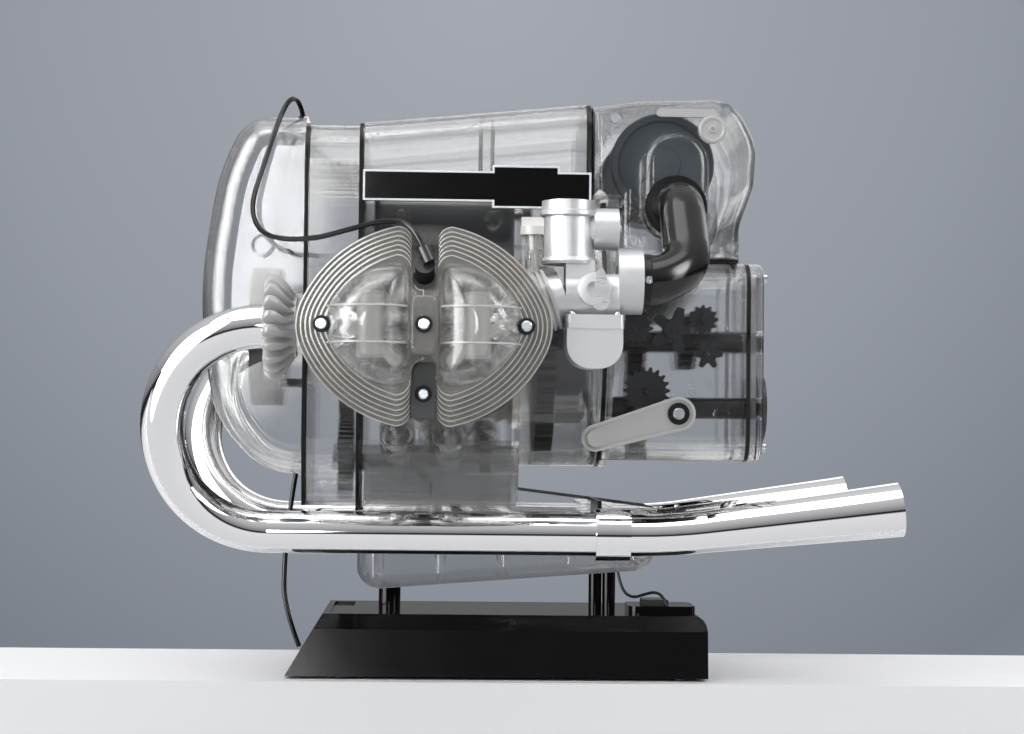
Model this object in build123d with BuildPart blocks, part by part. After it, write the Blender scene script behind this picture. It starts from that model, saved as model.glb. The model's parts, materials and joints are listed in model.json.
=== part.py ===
from build123d import *
import math
import os

os.makedirs("parts", exist_ok=True)

# Display model of an air-cooled flat-twin engine with its gearbox, on a stand.
# Lengths are millimetres. +X runs from the nose of the engine to the gearbox,
# -Y is the left cylinder, +Z is up, and the origin lies under the middle of the model.

# Gaps and overruns
overrun = 1.0
seat_gap = 0.2
running_gap = 0.4
shaft_clearance = 0.05

# Main axes
crank_height = 182.0
cam_drop = 64.0
left_cylinder_x = -54.0
cylinder_offset = 20.0
crank_throw = 17.65
rod_length = 67.5
bore_radius = 22.5

# Casing sizes
case_wall = 2.4
end_wall = 4.0
case_front_x = -90.0
case_length = 87.0
case_half_width = 50.0
case_foot_half_width = 40.0
case_foot_drop = 91.5
case_shoulder_drop = 56.0
case_top_rise = 72.0
timing_length = 29.0
timing_top_rise = 114.0
nose_length = 56.0
nose_bottom_drop = 75.0
nose_top_rise = 118.0
nose_half_width = 46.0
nose_rounding = 17.0
bell_length = 45.0
bell_radius = 70.0
gearbox_length = 79.0
gearbox_cover_length = 7.7
gearbox_bottom_drop = 66.0
gearbox_top_rise = 41.5
gearbox_half_width = 46.0
roof_front_rise = 115.0
roof_rear_rise = 127.0
roof_rounding = 16.0
roof_rear_x = 34.0

# Places that follow from the casing sizes
case_rear_x = case_front_x + case_length
timing_front_x = case_front_x - timing_length
bell_rear_x = case_rear_x + bell_length
gearbox_rear_x = bell_rear_x + gearbox_length
cam_height = crank_height - cam_drop
case_bottom = crank_height - case_foot_drop
case_shoulder_height = crank_height - case_shoulder_drop
case_top = crank_height + case_top_rise
timing_top = crank_height + timing_top_rise
nose_bottom = crank_height - nose_bottom_drop
nose_top = crank_height + nose_top_rise
gearbox_bottom = crank_height - gearbox_bottom_drop
gearbox_top = crank_height + gearbox_top_rise
roof_front_height = crank_height + roof_front_rise
roof_rear_height = crank_height + roof_rear_rise


def finish(piece, name):
    """Label a finished piece and write it as its own file."""
    piece.part.label = name
    export_step(piece.part, "parts/" + name + ".step")


def right_twin(left_piece, shift):
    """The piece of the engine's right side, mirrored from the left one."""
    with BuildPart() as twin:
        with Locations((shift, 0, 0)):
            add(mirror(left_piece.part, about=Plane.XZ, mode=Mode.PRIVATE))
    return twin


def outward(distance):
    """Plane square to the left cylinder's axis, this far from the crankshaft."""
    return Plane(
        origin=(left_cylinder_x, -distance, crank_height), x_dir=(1, 0, 0), z_dir=(0, -1, 0)
    )


def ring_section(plane, outer, inner):
    """A flat ring on a plane."""
    with BuildSketch(plane) as ring:
        Circle(outer)
        Circle(inner, mode=Mode.SUBTRACT)
    return ring.sketch


def disc_section(plane, radius):
    """A round disc on a plane."""
    with BuildSketch(plane) as disc:
        Circle(radius)
    return disc.sketch


def across(x, y, z):
    """Plane square to the crankshaft at a place."""
    return Plane(origin=(x, y, z), x_dir=(0, 1, 0), z_dir=(1, 0, 0))


def sideways(x, y, z):
    """Plane facing the engine's left side at a place."""
    return Plane(origin=(x, y, z), x_dir=(1, 0, 0), z_dir=(0, -1, 0))


# Spur gears, with flanks of the involute form and a little backlash
pressure_angle = math.radians(20)
addendum_share = 0.85
dedendum_share = 1.15
gear_backlash = 0.35


def involute(angle):
    return math.tan(angle) - angle


def gear_section(plane, teeth, module, first_tooth, bore):
    """Outline of a spur gear, with the middle of its first tooth at an angle in degrees."""
    pitch = teeth * module / 2
    tip = pitch + addendum_share * module
    root = pitch - dedendum_share * module
    base = pitch * math.cos(pressure_angle)
    half_at_pitch = math.pi / teeth / 2 - gear_backlash / pitch / 2

    def half_tooth(radius):
        slope = math.acos(base / max(radius, base))
        return half_at_pitch + involute(pressure_angle) - involute(slope)

    flank = ((root, -1), (pitch, -1), (tip, -1), (tip, 1), (pitch, 1), (root, 1))
    points = []
    for tooth in range(teeth):
        middle = math.radians(first_tooth) + 2 * math.pi * tooth / teeth
        for radius, side in flank:
            angle = middle + side * half_tooth(radius)
            points.append((radius * math.cos(angle), radius * math.sin(angle)))
    with BuildSketch(plane) as gear:
        Polygon(*points, align=None)
        Circle(bore, mode=Mode.SUBTRACT)
    return gear.sketch


# Stand

foot_height = 1.5
base_front_x = -125.6
base_length = 223.4
base_half_depth = 64.0
base_side_draft = 3.0
base_edge_height = 26.0
base_crown_inset = 18.0
base_height = 33.0
base_slant = 19.0
base_shell = 3.0
base_corner = 5.0
plate_thickness = 2.5
base_recess_x = -97.6
base_recess_length = 11.6
base_recess_width = 78.0
base_recess_depth = 1.2
pod_x = 76.0
pod_y = -20.0
pod_length = 36.0
pod_width = 34.0
pod_rise = 4.5
button_x = 73.0
button_y = -20.0
button_length = 14.0
button_width = 18.0
button_proud = 3.0
button_depth = 9.0
foot_radius = 7.0
foot_inset = 12.0
base_rear_x = base_front_x + base_length

with BuildPart() as base_cover:
    with BuildSketch(Plane.XZ):
        with BuildLine():
            Polyline(
                (base_front_x, foot_height),
                (base_front_x + base_slant, base_height),
                (base_rear_x, base_height),
                (base_rear_x, foot_height),
                close=True,
            )
        make_face()
    extrude(amount=base_half_depth, both=True)
    with BuildSketch(Plane.YZ.offset(base_front_x - overrun)):
        with BuildLine():
            Polyline(
                (-base_half_depth, foot_height),
                (-base_half_depth + base_side_draft, base_edge_height),
                (-base_half_depth + base_crown_inset, base_height),
                (base_half_depth - base_crown_inset, base_height),
                (base_half_depth - base_side_draft, base_edge_height),
                (base_half_depth, foot_height),
                close=True,
            )
        make_face()
    extrude(amount=base_length + 2 * overrun, mode=Mode.INTERSECT)
    fillet(base_cover.edges().filter_by(Axis.Y).group_by(Axis.Z)[-1].sort_by(Axis.X)[-1], base_corner)
    with BuildSketch(Plane.XY.offset(base_height)):
        with Locations((pod_x, pod_y)):
            RectangleRounded(pod_length, pod_width, base_corner)
    extrude(amount=pod_rise)
    with BuildSketch(Plane.XY.offset(base_height)):
        with Locations((base_recess_x, 0)):
            Rectangle(base_recess_length, base_recess_width)
    extrude(amount=-base_recess_depth, mode=Mode.SUBTRACT)
    with BuildSketch(Plane.XY.offset(foot_height)):
        with Locations(((base_front_x + base_slant + base_rear_x) / 2, 0)):
            Rectangle(
                base_length - base_slant - 2 * base_shell,
                2 * (base_half_depth - base_side_draft - base_shell),
            )
    extrude(amount=base_edge_height - base_shell - foot_height, mode=Mode.SUBTRACT)
    with BuildSketch(Plane.XY.offset(foot_height)):
        with Locations((button_x, button_y)):
            Rectangle(button_length + 2 * running_gap, button_width + 2 * running_gap)
    extrude(amount=base_height + pod_rise, mode=Mode.SUBTRACT)
finish(base_cover, "base_cover")

with BuildPart() as base_plate:
    with BuildSketch(Plane.XY.offset(foot_height)):
        with Locations(((base_front_x + base_slant + base_rear_x) / 2, 0)):
            Rectangle(
                base_length - base_slant - 2 * base_shell - 2 * seat_gap,
                2 * (base_half_depth - base_side_draft - base_shell - seat_gap),
            )
    extrude(amount=plate_thickness)
finish(base_plate, "base_plate")

with BuildPart() as rubber_feet:
    for foot_x in (base_front_x + base_slant + foot_inset, base_rear_x - foot_inset):
        for foot_y in (-base_half_depth + foot_inset, base_half_depth - foot_inset):
            with BuildSketch(Plane.XY):
                with Locations((foot_x, foot_y)):
                    Circle(foot_radius)
            extrude(amount=foot_height)
finish(rubber_feet, "rubber_feet")

with BuildPart() as start_button:
    with BuildSketch(Plane.XY.offset(base_height + pod_rise + button_proud)):
        with Locations((button_x, button_y)):
            Rectangle(button_length, button_width)
    extrude(amount=-button_depth)
    chamfer(start_button.faces().sort_by(Axis.Z)[-1].edges(), shaft_clearance * 10)
finish(start_button, "start_button")

# Oil sump

sump_front_x = -89.0
sump_length = 160.0
sump_half_width = 38.0
sump_lid = 2.5
sump_front_depth = 43.0
sump_rear_depth = 30.5
sump_corner = 12.0
sump_rib_radius = 3.0
sump_first_rib = 10.0
sump_rib_count = 5
sump_top = case_bottom - sump_lid
sump_rear_x = sump_front_x + sump_length
sump_floor_front = sump_top - sump_front_depth
sump_floor_rear = sump_top - sump_rear_depth
sump_rib_spacing = (sump_length - 2 * sump_first_rib) / (sump_rib_count - 1)


def sump_section(inset, top):
    """Side outline of the sump, drawn in by a wall."""
    with BuildSketch(Plane.XZ) as section:
        with BuildLine():
            Polyline(
                (sump_front_x + inset, top),
                (sump_front_x + inset, sump_floor_front + inset),
                (sump_rear_x - inset, sump_floor_rear + inset),
                (sump_rear_x - inset, top),
                close=True,
            )
        make_face()
        fillet(section.vertices().sort_by(Axis.Y)[:2], sump_corner - inset)
    return section.sketch


def sump_floor(x):
    """Height of the sump's underside at a place along it."""
    share = (x - sump_front_x) / sump_length
    return sump_floor_front + share * (sump_floor_rear - sump_floor_front)


with BuildPart() as oil_sump:
    extrude(sump_section(0, sump_top), amount=sump_half_width, both=True)
    for rib in range(sump_rib_count):
        rib_x = sump_front_x + sump_first_rib + rib * sump_rib_spacing
        rib_foot = sump_floor(rib_x) + sump_corner / 2
        with BuildSketch(Plane.XY.offset(rib_foot)):
            with Locations((rib_x, -sump_half_width), (rib_x, sump_half_width)):
                Circle(sump_rib_radius)
        extrude(amount=sump_top - case_wall - rib_foot)
    hollow = sump_section(case_wall, sump_top + overrun)
    extrude(hollow, amount=sump_half_width - case_wall, both=True, mode=Mode.SUBTRACT)
finish(oil_sump, "oil_sump")

# Posts between the stand and the sump, cut to the slope of the sump's floor

front_post_x = -72.0
front_post_radius = 6.0
rear_post_x = 42.0
rear_post_spacing = 7.6
rear_post_radius = 3.6
sump_slope = math.degrees(math.atan2(sump_floor_rear - sump_floor_front, sump_length))

with BuildPart() as stand_posts:
    with BuildSketch(Plane.XY.offset(base_height)):
        with Locations((front_post_x, 0)):
            Circle(front_post_radius)
        with Locations((rear_post_x, 0), (rear_post_x + rear_post_spacing, 0)):
            Circle(rear_post_radius)
    extrude(amount=sump_floor_rear - base_height + overrun)
    floor_plane = Plane(
        origin=(sump_front_x, 0, sump_floor_front), x_dir=(0, 1, 0), z_dir=(0, 0, 1)
    ).rotated((0, -sump_slope, 0))
    split(bisect_by=floor_plane, keep=Keep.BOTTOM)
finish(stand_posts, "stand_posts")

# Valve gear places, measured from the left cylinder's centre and outward from the crankshaft

rod_side = 14.0
rod_line_drop = 68.4
rod_line_slope = 0.3053
rod_line_height = crank_height - rod_line_drop
rod_angle = math.degrees(math.atan(rod_line_slope))
pushrod_radius = 2.4
pushrod_tube_radius = 5.0
pushrod_bore = 4.0
boot_radius = 9.5
boot_length = 9.0


def along_pushrod(side, distance):
    """Plane square to a left pushrod where it is this far out from the crankshaft."""
    return Plane(
        origin=(left_cylinder_x + side * rod_side, -distance, rod_line_height + rod_line_slope * distance),
        x_dir=(1, 0, 0),
        z_dir=(0, -1, rod_line_slope),
    )


def slant(distance):
    """Length along a pushrod for a distance outward."""
    return distance / math.cos(math.radians(rod_angle))


# Crankcase with its bell housing

spigot_radius = 25.6
bearing_seat_radius = 12.0
cam_journal_radius = 5.0
shaft_radius = 8.0
flange_overhang = 2.0
flange_rear_x = 72.0
gusset_height = 9.0
tappet_radius = 6.5
tappet_guide_radius = 9.5
tappet_guide_depth = 16.0
idler_pin_radius = 3.0
idler_drop = 27.0
timing_gap = 3.0
timing_gear_width = 8.0
starter_shaft_radius = 3.0
ring_teeth = 60
ring_module = 2.0
pinion_teeth = 9
pinion_width = 5.0
pinion_gap = 1.5
starter_height = crank_height + ring_module * (ring_teeth + pinion_teeth) / 2
dip_foot_rise = 21.0
dip_top_rise = 53.0
dip_x = 4.0
dip_y = -62.0
dip_tube_radius = 5.5
dip_tube_foot = crank_height + dip_foot_rise
dip_tube_top = crank_height + dip_top_rise


def case_section(x, inset, low, high):
    """The crankcase's cross-section, drawn in by a wall."""
    foot = case_foot_half_width - inset
    side = case_half_width - inset
    with BuildSketch(Plane.YZ.offset(x)) as section:
        with BuildLine():
            Polyline(
                (-foot, low),
                (-foot, case_bottom + case_wall),
                (-side, case_shoulder_height),
                (-side, high),
                (side, high),
                (side, case_shoulder_height),
                (foot, case_bottom + case_wall),
                (foot, low),
                close=True,
            )
        make_face()
    return section.sketch


with BuildPart() as crankcase:
    extrude(case_section(case_front_x, 0, case_bottom, case_top), amount=case_length)
    bell_face = across(case_rear_x - end_wall, 0, crank_height)
    extrude(disc_section(bell_face, bell_radius), amount=bell_length + end_wall)
    with BuildSketch(Plane.YZ.offset(case_rear_x)):
        with Locations((0, (crank_height + case_top) / 2)):
            Rectangle(2 * case_half_width, case_top - crank_height)
    extrude(amount=bell_length)
    with BuildSketch(Plane.XY.offset(case_bottom)):
        with Locations(((case_front_x + flange_rear_x) / 2, 0)):
            Rectangle(
                flange_rear_x - case_front_x, 2 * (case_foot_half_width + flange_overhang)
            )
    extrude(amount=-sump_lid)
    with BuildSketch(Plane.XZ):
        with BuildLine():
            Polyline(
                (case_rear_x, case_bottom),
                (flange_rear_x, case_bottom),
                (case_rear_x, case_bottom + gusset_height),
                close=True,
            )
        make_face()
    extrude(amount=case_foot_half_width, both=True)
    with BuildSketch(Plane.XY.offset(dip_tube_foot)):
        with Locations((dip_x, dip_y)):
            Circle(dip_tube_radius)
    extrude(amount=dip_tube_top - dip_tube_foot)
    cavity_length = case_length - 2 * end_wall
    cavity = case_section(case_front_x + end_wall, case_wall, case_bottom - sump_lid - overrun, case_top + overrun)
    extrude(cavity, amount=cavity_length, mode=Mode.SUBTRACT)
    bell_floor = across(case_rear_x, 0, crank_height)
    extrude(disc_section(bell_floor, bell_radius - case_wall), amount=bell_length + overrun, mode=Mode.SUBTRACT)
    with BuildSketch(Plane.YZ.offset(case_rear_x)):
        with Locations((0, (crank_height + case_top + overrun) / 2)):
            Rectangle(2 * (case_half_width - case_wall), case_top + overrun - crank_height)
    extrude(amount=bell_length - case_wall, mode=Mode.SUBTRACT)
    for side in (-1, 1):
        guide_foot = along_pushrod(side, case_half_width - case_wall)
        guide = disc_section(guide_foot, tappet_guide_radius)
        extrude(guide, amount=-tappet_guide_depth)
        extrude(
            disc_section(guide_foot, tappet_radius + shaft_clearance),
            amount=-tappet_guide_depth - overrun,
            mode=Mode.SUBTRACT,
        )
        twin_guide = Plane(
            origin=(guide_foot.origin.X + cylinder_offset, -guide_foot.origin.Y, guide_foot.origin.Z),
            x_dir=(1, 0, 0),
            z_dir=(0, 1, rod_line_slope),
        )
        extrude(disc_section(twin_guide, tappet_guide_radius), amount=-tappet_guide_depth)
        extrude(
            disc_section(twin_guide, tappet_radius + shaft_clearance),
            amount=-tappet_guide_depth - overrun,
            mode=Mode.SUBTRACT,
        )
        for mouth in (guide_foot, twin_guide):
            extrude(
                disc_section(mouth, pushrod_bore), amount=3 * case_wall, both=True, mode=Mode.SUBTRACT
            )
    for cylinder_x, facing in ((left_cylinder_x, -1), (left_cylinder_x + cylinder_offset, 1)):
        hole_plane = Plane(
            origin=(cylinder_x, facing * (case_half_width + overrun), crank_height),
            x_dir=(1, 0, 0),
            z_dir=(0, -facing, 0),
        )
        extrude(
            disc_section(hole_plane, spigot_radius + seat_gap),
            amount=case_wall + 2 * overrun,
            mode=Mode.SUBTRACT,
        )
    for bore_height, bore in (
        (crank_height, bearing_seat_radius),
        (cam_height, cam_journal_radius + shaft_clearance),
    ):
        bore_plane = across(case_front_x - overrun, 0, bore_height)
        extrude(disc_section(bore_plane, bore), amount=case_length + overrun, mode=Mode.SUBTRACT)
    starter_hole = across(case_rear_x - end_wall - overrun, 0, starter_height)
    extrude(
        disc_section(starter_hole, starter_shaft_radius + running_gap),
        amount=end_wall + 2 * overrun,
        mode=Mode.SUBTRACT,
    )
    with BuildSketch(Plane.XY.offset(dip_tube_foot - dip_tube_radius)):
        with Locations((dip_x, dip_y)):
            Circle(dip_tube_radius - case_wall)
    extrude(amount=dip_tube_top + overrun - dip_tube_foot + dip_tube_radius, mode=Mode.SUBTRACT)
    idler_plane = across(case_front_x, 0, crank_height - idler_drop)
    extrude(disc_section(idler_plane, idler_pin_radius), amount=-timing_gear_width - timing_gap)
    for bearing_x in (case_front_x, case_rear_x - end_wall):
        bush = ring_section(
            across(bearing_x, 0, crank_height),
            bearing_seat_radius - shaft_clearance,
            shaft_radius + shaft_clearance,
        )
        extrude(bush, amount=end_wall)
finish(crankcase, "crankcase")

# Timing housing, open towards the crankcase

timing_shoulder = 20.0
nose_shaft_radius = 6.0


def timing_section(x, inset):
    """Cross-section of the tall housing in front of the crankcase."""
    foot = case_foot_half_width - inset
    side = case_half_width - inset
    with BuildSketch(Plane.YZ.offset(x)) as section:
        with BuildLine():
            Polyline(
                (-foot, case_bottom + inset),
                (-side, case_shoulder_height),
                (-side, timing_top - inset),
                (side, timing_top - inset),
                (side, case_shoulder_height),
                (foot, case_bottom + inset),
                close=True,
            )
        make_face()
        fillet(section.vertices().group_by(Axis.Y)[-1], timing_shoulder - inset)
    return section.sketch


with BuildPart() as timing_housing:
    extrude(timing_section(timing_front_x, 0), amount=timing_length)
    room = timing_section(timing_front_x + case_wall, case_wall)
    extrude(room, amount=timing_length, mode=Mode.SUBTRACT)
    nose_hole = across(timing_front_x, 0, crank_height)
    extrude(disc_section(nose_hole, shaft_radius + running_gap), amount=case_wall, mode=Mode.SUBTRACT)
finish(timing_housing, "timing_housing")

# Front cover, the tall nose over the alternator

nose_corner_shares = (
    (0.375, 0.0, 0.19),
    (0.875, 0.16, 0.31),
    (1.035, 0.50, 1.14),
    (0.85, 0.845, 0.57),
    (0.59, 1.0, 0.114),
)


def nose_section(inset, back):
    """Side outline of the nose, drawn in by a wall."""
    height = nose_top - nose_bottom
    rear = timing_front_x + back + inset
    corners = [
        (timing_front_x - x_share * nose_length, nose_bottom + z_share * height)
        for x_share, z_share, bend_share in nose_corner_shares
    ]
    bends = [bend_share * height for x_share, z_share, bend_share in nose_corner_shares]
    with BuildSketch(Plane.XZ) as section:
        with BuildLine():
            FilletPolyline((rear, nose_bottom), *corners, (rear, nose_top), radius=bends)
            Line((rear, nose_top), (rear, nose_bottom))
        make_face()
        if inset:
            offset(amount=-inset, kind=Kind.INTERSECTION)
    return section.sketch


nose_flange_overhang = 0.8
nose_flange_width = 2.0
nose_slot_x = -143.9
nose_slot_drop = 26.4
nose_slot_length = 36.0
nose_slot_width = 5.0
nose_slot_height = 1.2
nose_boss_x = -141.0
nose_boss_rise = 47.0
nose_boss_radius = 6.5
nose_boss_height = 2.6

with BuildPart() as nose_core:
    extrude(nose_section(case_wall, overrun), amount=nose_half_width - case_wall, both=True)
    core_sides = nose_core.faces().filter_by(Axis.Y)
    fillet(
        core_sides.edges().filter_by(lambda e: e.center().X < timing_front_x + overrun / 2),
        nose_rounding - case_wall,
    )

with BuildPart() as front_cover:
    extrude(nose_section(0, 0), amount=nose_half_width, both=True)
    cover_sides = front_cover.faces().filter_by(Axis.Y)
    fillet(
        cover_sides.edges().filter_by(lambda e: e.center().X < timing_front_x - overrun / 2),
        nose_rounding,
    )
    with BuildSketch(Plane.YZ.offset(timing_front_x)):
        with Locations((0, (nose_top + nose_bottom) / 2)):
            RectangleRounded(
                2 * (nose_half_width + nose_flange_overhang),
                nose_top - nose_bottom + 2 * nose_flange_overhang,
                nose_rounding,
            )
    extrude(amount=-nose_flange_width)
    with BuildSketch(Plane.XZ):
        with Locations((nose_slot_x, crank_height - nose_slot_drop)):
            SlotOverall(nose_slot_length, nose_slot_width, rotation=90)
    extrude(amount=nose_half_width + nose_slot_height, both=True)
    with BuildSketch(Plane.XZ):
        with Locations((nose_boss_x, crank_height + nose_boss_rise)):
            Circle(nose_boss_radius)
    extrude(amount=nose_half_width + nose_boss_height, both=True)
    boss_ends = front_cover.faces().filter_by(Axis.Y).group_by(Axis.Y)
    chamfer(boss_ends[0].edges() + boss_ends[-1].edges(), nose_boss_height - running_gap)
    add(nose_core.part, mode=Mode.SUBTRACT)
finish(front_cover, "front_cover")

# Top cover over the crankcase and bell housing


def roof_section(inset):
    """Side outline of the top cover."""
    with BuildSketch(Plane.XZ) as section:
        with BuildLine():
            Polyline(
                (case_front_x + inset, case_top - inset),
                (case_front_x + inset, roof_front_height - inset),
                (roof_rear_x - inset, roof_rear_height - inset),
                (roof_rear_x - inset, case_top - inset),
                close=True,
            )
        make_face()
    return section.sketch


roof_rib_places = (-69.0, -19.0)
roof_rib_width = 2.0
roof_rib_depth = 4.0
peg_x = -21.7
peg_y = -28.0
peg_radius = 4.3
peg_rise = 17.0

with BuildPart() as roof_core:
    extrude(roof_section(case_wall), amount=case_half_width - case_wall, both=True)
    fillet(
        roof_core.faces().sort_by(Axis.Z)[-1].edges().group_by(Axis.Y)[0]
        + roof_core.faces().sort_by(Axis.Z)[-1].edges().group_by(Axis.Y)[-1],
        roof_rounding - case_wall,
    )

with BuildPart() as top_cover:
    extrude(roof_section(0), amount=case_half_width, both=True)
    fillet(
        top_cover.faces().sort_by(Axis.Z)[-1].edges().group_by(Axis.Y)[0]
        + top_cover.faces().sort_by(Axis.Z)[-1].edges().group_by(Axis.Y)[-1],
        roof_rounding,
    )
    add(roof_core.part, mode=Mode.SUBTRACT)
    roof_flat = roof_front_height - roof_rounding - case_top
    for facing in (-1, 1):
        with Locations(*[(rib_x, facing * (case_half_width - overrun), case_top) for rib_x in roof_rib_places]):
            Box(
                roof_rib_width,
                2 * roof_rib_depth,
                roof_flat,
                align=(Align.CENTER, Align.CENTER, Align.MIN),
            )
    with BuildSketch(Plane.XY.offset(case_top + peg_rise)):
        with Locations((peg_x, peg_y)):
            RegularPolygon(peg_radius, 6)
    extrude(amount=roof_rear_height - case_top - peg_rise)
    with BuildPart(mode=Mode.PRIVATE) as roof_hull:
        extrude(roof_section(0), amount=case_half_width, both=True)
    add(roof_hull.part, mode=Mode.INTERSECT)
    split(bisect_by=Plane.XY.offset(case_top), keep=Keep.TOP)
finish(top_cover, "top_cover")

# Air filter housing, two halves that meet in the middle plane

airbox_bottom = gearbox_top + running_gap
airbox_half_width = 46.0
airbox_rounding = 6.0
airbox_step_x = 50.0
airbox_step_rise = 75.0
airbox_step_height = crank_height + airbox_step_rise
airbox_length = 90.0
airbox_rise = 86.0
airbox_corner_shares = (
    (0.0, 0.93, 0.02),
    (0.28, 0.975, 0.5),
    (0.86, 1.0, 0.25),
    (1.0, 0.72, 0.30),
    (0.985, 0.47, 0.20),
    (0.90, 0.22, 0.20),
)


def airbox_section(inset):
    """Side outline of the air filter housing, drawn in by a wall."""
    corners = [
        (roof_rear_x + x_share * airbox_length, airbox_bottom + z_share * (airbox_rise + case_wall))
        for x_share, z_share, bend_share in airbox_corner_shares
    ]
    bends = [bend_share * airbox_rise for x_share, z_share, bend_share in airbox_corner_shares]
    low_rear = (corners[-1][0], airbox_bottom)
    with BuildSketch(Plane.XZ) as section:
        with BuildLine():
            Line((airbox_step_x, airbox_bottom), (airbox_step_x, airbox_step_height))
            Line((airbox_step_x, airbox_step_height), (roof_rear_x, airbox_step_height))
            FilletPolyline((roof_rear_x, airbox_step_height), *corners, low_rear, radius=bends)
            Line(low_rear, (airbox_step_x, airbox_bottom))
        make_face()
        if inset:
            offset(amount=-inset, kind=Kind.INTERSECTION)
    return section.sketch


filter_x = 73.0
filter_rise = 94.0
filter_height = crank_height + filter_rise
filter_radius = 25.5
filter_inner_radius = 17.0
filter_half_width = airbox_half_width - case_wall
intake_x = 79.0
intake_rise = 70.0
intake_dome_lift = 11.0
intake_height = crank_height + intake_rise
intake_dome_height = intake_height + intake_dome_lift
right_intake_shift = 17.0
intake_radius = 14.0
intake_dome_radius = 18.0
intake_dome_depth = 14.0
intake_dome_rise = 24.0
choke_x = 99.3
choke_rise = 112.8
choke_height = crank_height + choke_rise
choke_pin_radius = 2.5
screw_radius = 2.5
screw_height = 2.0
socket_radius = 1.4
socket_depth = 1.2
airbox_screw_boss_radius = 4.5
airbox_screw_boss_depth = 8.0
airbox_screw_places = (
    (roof_rear_x + 13.0, airbox_bottom + 76.6),
    (roof_rear_x + 72.5, airbox_bottom + 81.1),
    (roof_rear_x + 76.0, airbox_bottom + 7.6),
    (roof_rear_x + 24.0, airbox_bottom + 10.1),
)


def airbox_half(mouth_x):
    """Left half of the air filter housing, with the arched dome that the intake hose enters."""
    dome_plane = sideways(mouth_x, -airbox_half_width + case_wall, intake_dome_height)
    with BuildPart() as half:
        extrude(airbox_section(0), amount=airbox_half_width)
        fillet(half.faces().sort_by(Axis.Y)[0].edges(), airbox_rounding)
        with BuildSketch(dome_plane):
            SlotCenterToCenter(intake_dome_rise, 2 * intake_dome_radius, rotation=90)
        extrude(amount=intake_dome_depth)
        fillet(half.faces().sort_by(Axis.Y)[0].edges(), airbox_rounding)
        extrude(airbox_section(case_wall), amount=airbox_half_width - case_wall, mode=Mode.SUBTRACT)
        with BuildSketch(dome_plane):
            SlotCenterToCenter(intake_dome_rise, 2 * (intake_dome_radius - case_wall), rotation=90)
        extrude(amount=intake_dome_depth - case_wall, mode=Mode.SUBTRACT)
        for screw_x, screw_z in airbox_screw_places:
            boss_face = sideways(screw_x, -airbox_half_width + overrun, screw_z)
            extrude(disc_section(boss_face, airbox_screw_boss_radius), amount=-airbox_screw_boss_depth)
            recess = disc_section(boss_face.offset(overrun), screw_radius + running_gap)
            extrude(recess, amount=-screw_height, mode=Mode.SUBTRACT)
        mouth_plane = sideways(mouth_x, -airbox_half_width, intake_height)
        extrude(
            disc_section(mouth_plane, intake_radius - case_wall),
            amount=intake_dome_depth + overrun,
            mode=Mode.SUBTRACT,
        )
        split(bisect_by=Plane.XZ.offset(seat_gap / 4), keep=Keep.TOP)
    return half


with BuildPart() as left_airbox:
    add(airbox_half(intake_x).part)
    choke_hole = sideways(choke_x, -airbox_half_width - overrun, choke_height)
    extrude(
        disc_section(choke_hole, choke_pin_radius + shaft_clearance),
        amount=-case_wall - 2 * overrun,
        mode=Mode.SUBTRACT,
    )
with BuildPart() as airbox_halves:
    add(left_airbox.part)
    add(right_twin(airbox_half(intake_x + right_intake_shift), 0).part)
finish(airbox_halves, "airbox_halves")

with BuildPart() as air_filter:
    filter_plane = sideways(filter_x, filter_half_width, filter_height)
    extrude(ring_section(filter_plane, filter_radius, filter_inner_radius), amount=2 * filter_half_width)
finish(air_filter, "air_filter")

# Gearbox case, rear cover and shafts

gearbox_corner = 14.0
gear_module = 1.75
input_teeth = 16
layshaft_teeth = 26
gear_width = 10.0
gear_pair_x = 58.0
spare_gear_x = 86.0
selector_x = 104.0
output_flange_radius = 18.0
output_flange_length = 6.0
gearbox_shaft_radius = 6.0
shaft_drop = gear_module * (input_teeth + layshaft_teeth) / 2
layshaft_height = crank_height - shaft_drop
gearbox_height = gearbox_top - gearbox_bottom
gearbox_middle = (gearbox_top + gearbox_bottom) / 2
shift_x = 80.0
shift_drop = 40.6
shift_height = crank_height - shift_drop
shift_shaft_radius = 4.0


def gearbox_section(x, inset):
    """Cross-section of the gearbox, drawn in by a wall."""
    with BuildSketch(Plane.YZ.offset(x)) as section:
        with Locations((0, gearbox_middle)):
            RectangleRounded(
                2 * (gearbox_half_width - inset), gearbox_height - 2 * inset, gearbox_corner - inset
            )
    return section.sketch


gearbox_rib_rise = 1.4
gearbox_rib_width = 2.0
gearbox_rib_height = 1.5
gearbox_ring_x = 94.6
gearbox_ring_drop = 27.0
gearbox_ring_radius = 6.4
gearbox_stud_radius = 4.4
gearbox_stud_places = ((105.9, crank_height - 40.4), (112.0, crank_height + 7.5))

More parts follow.
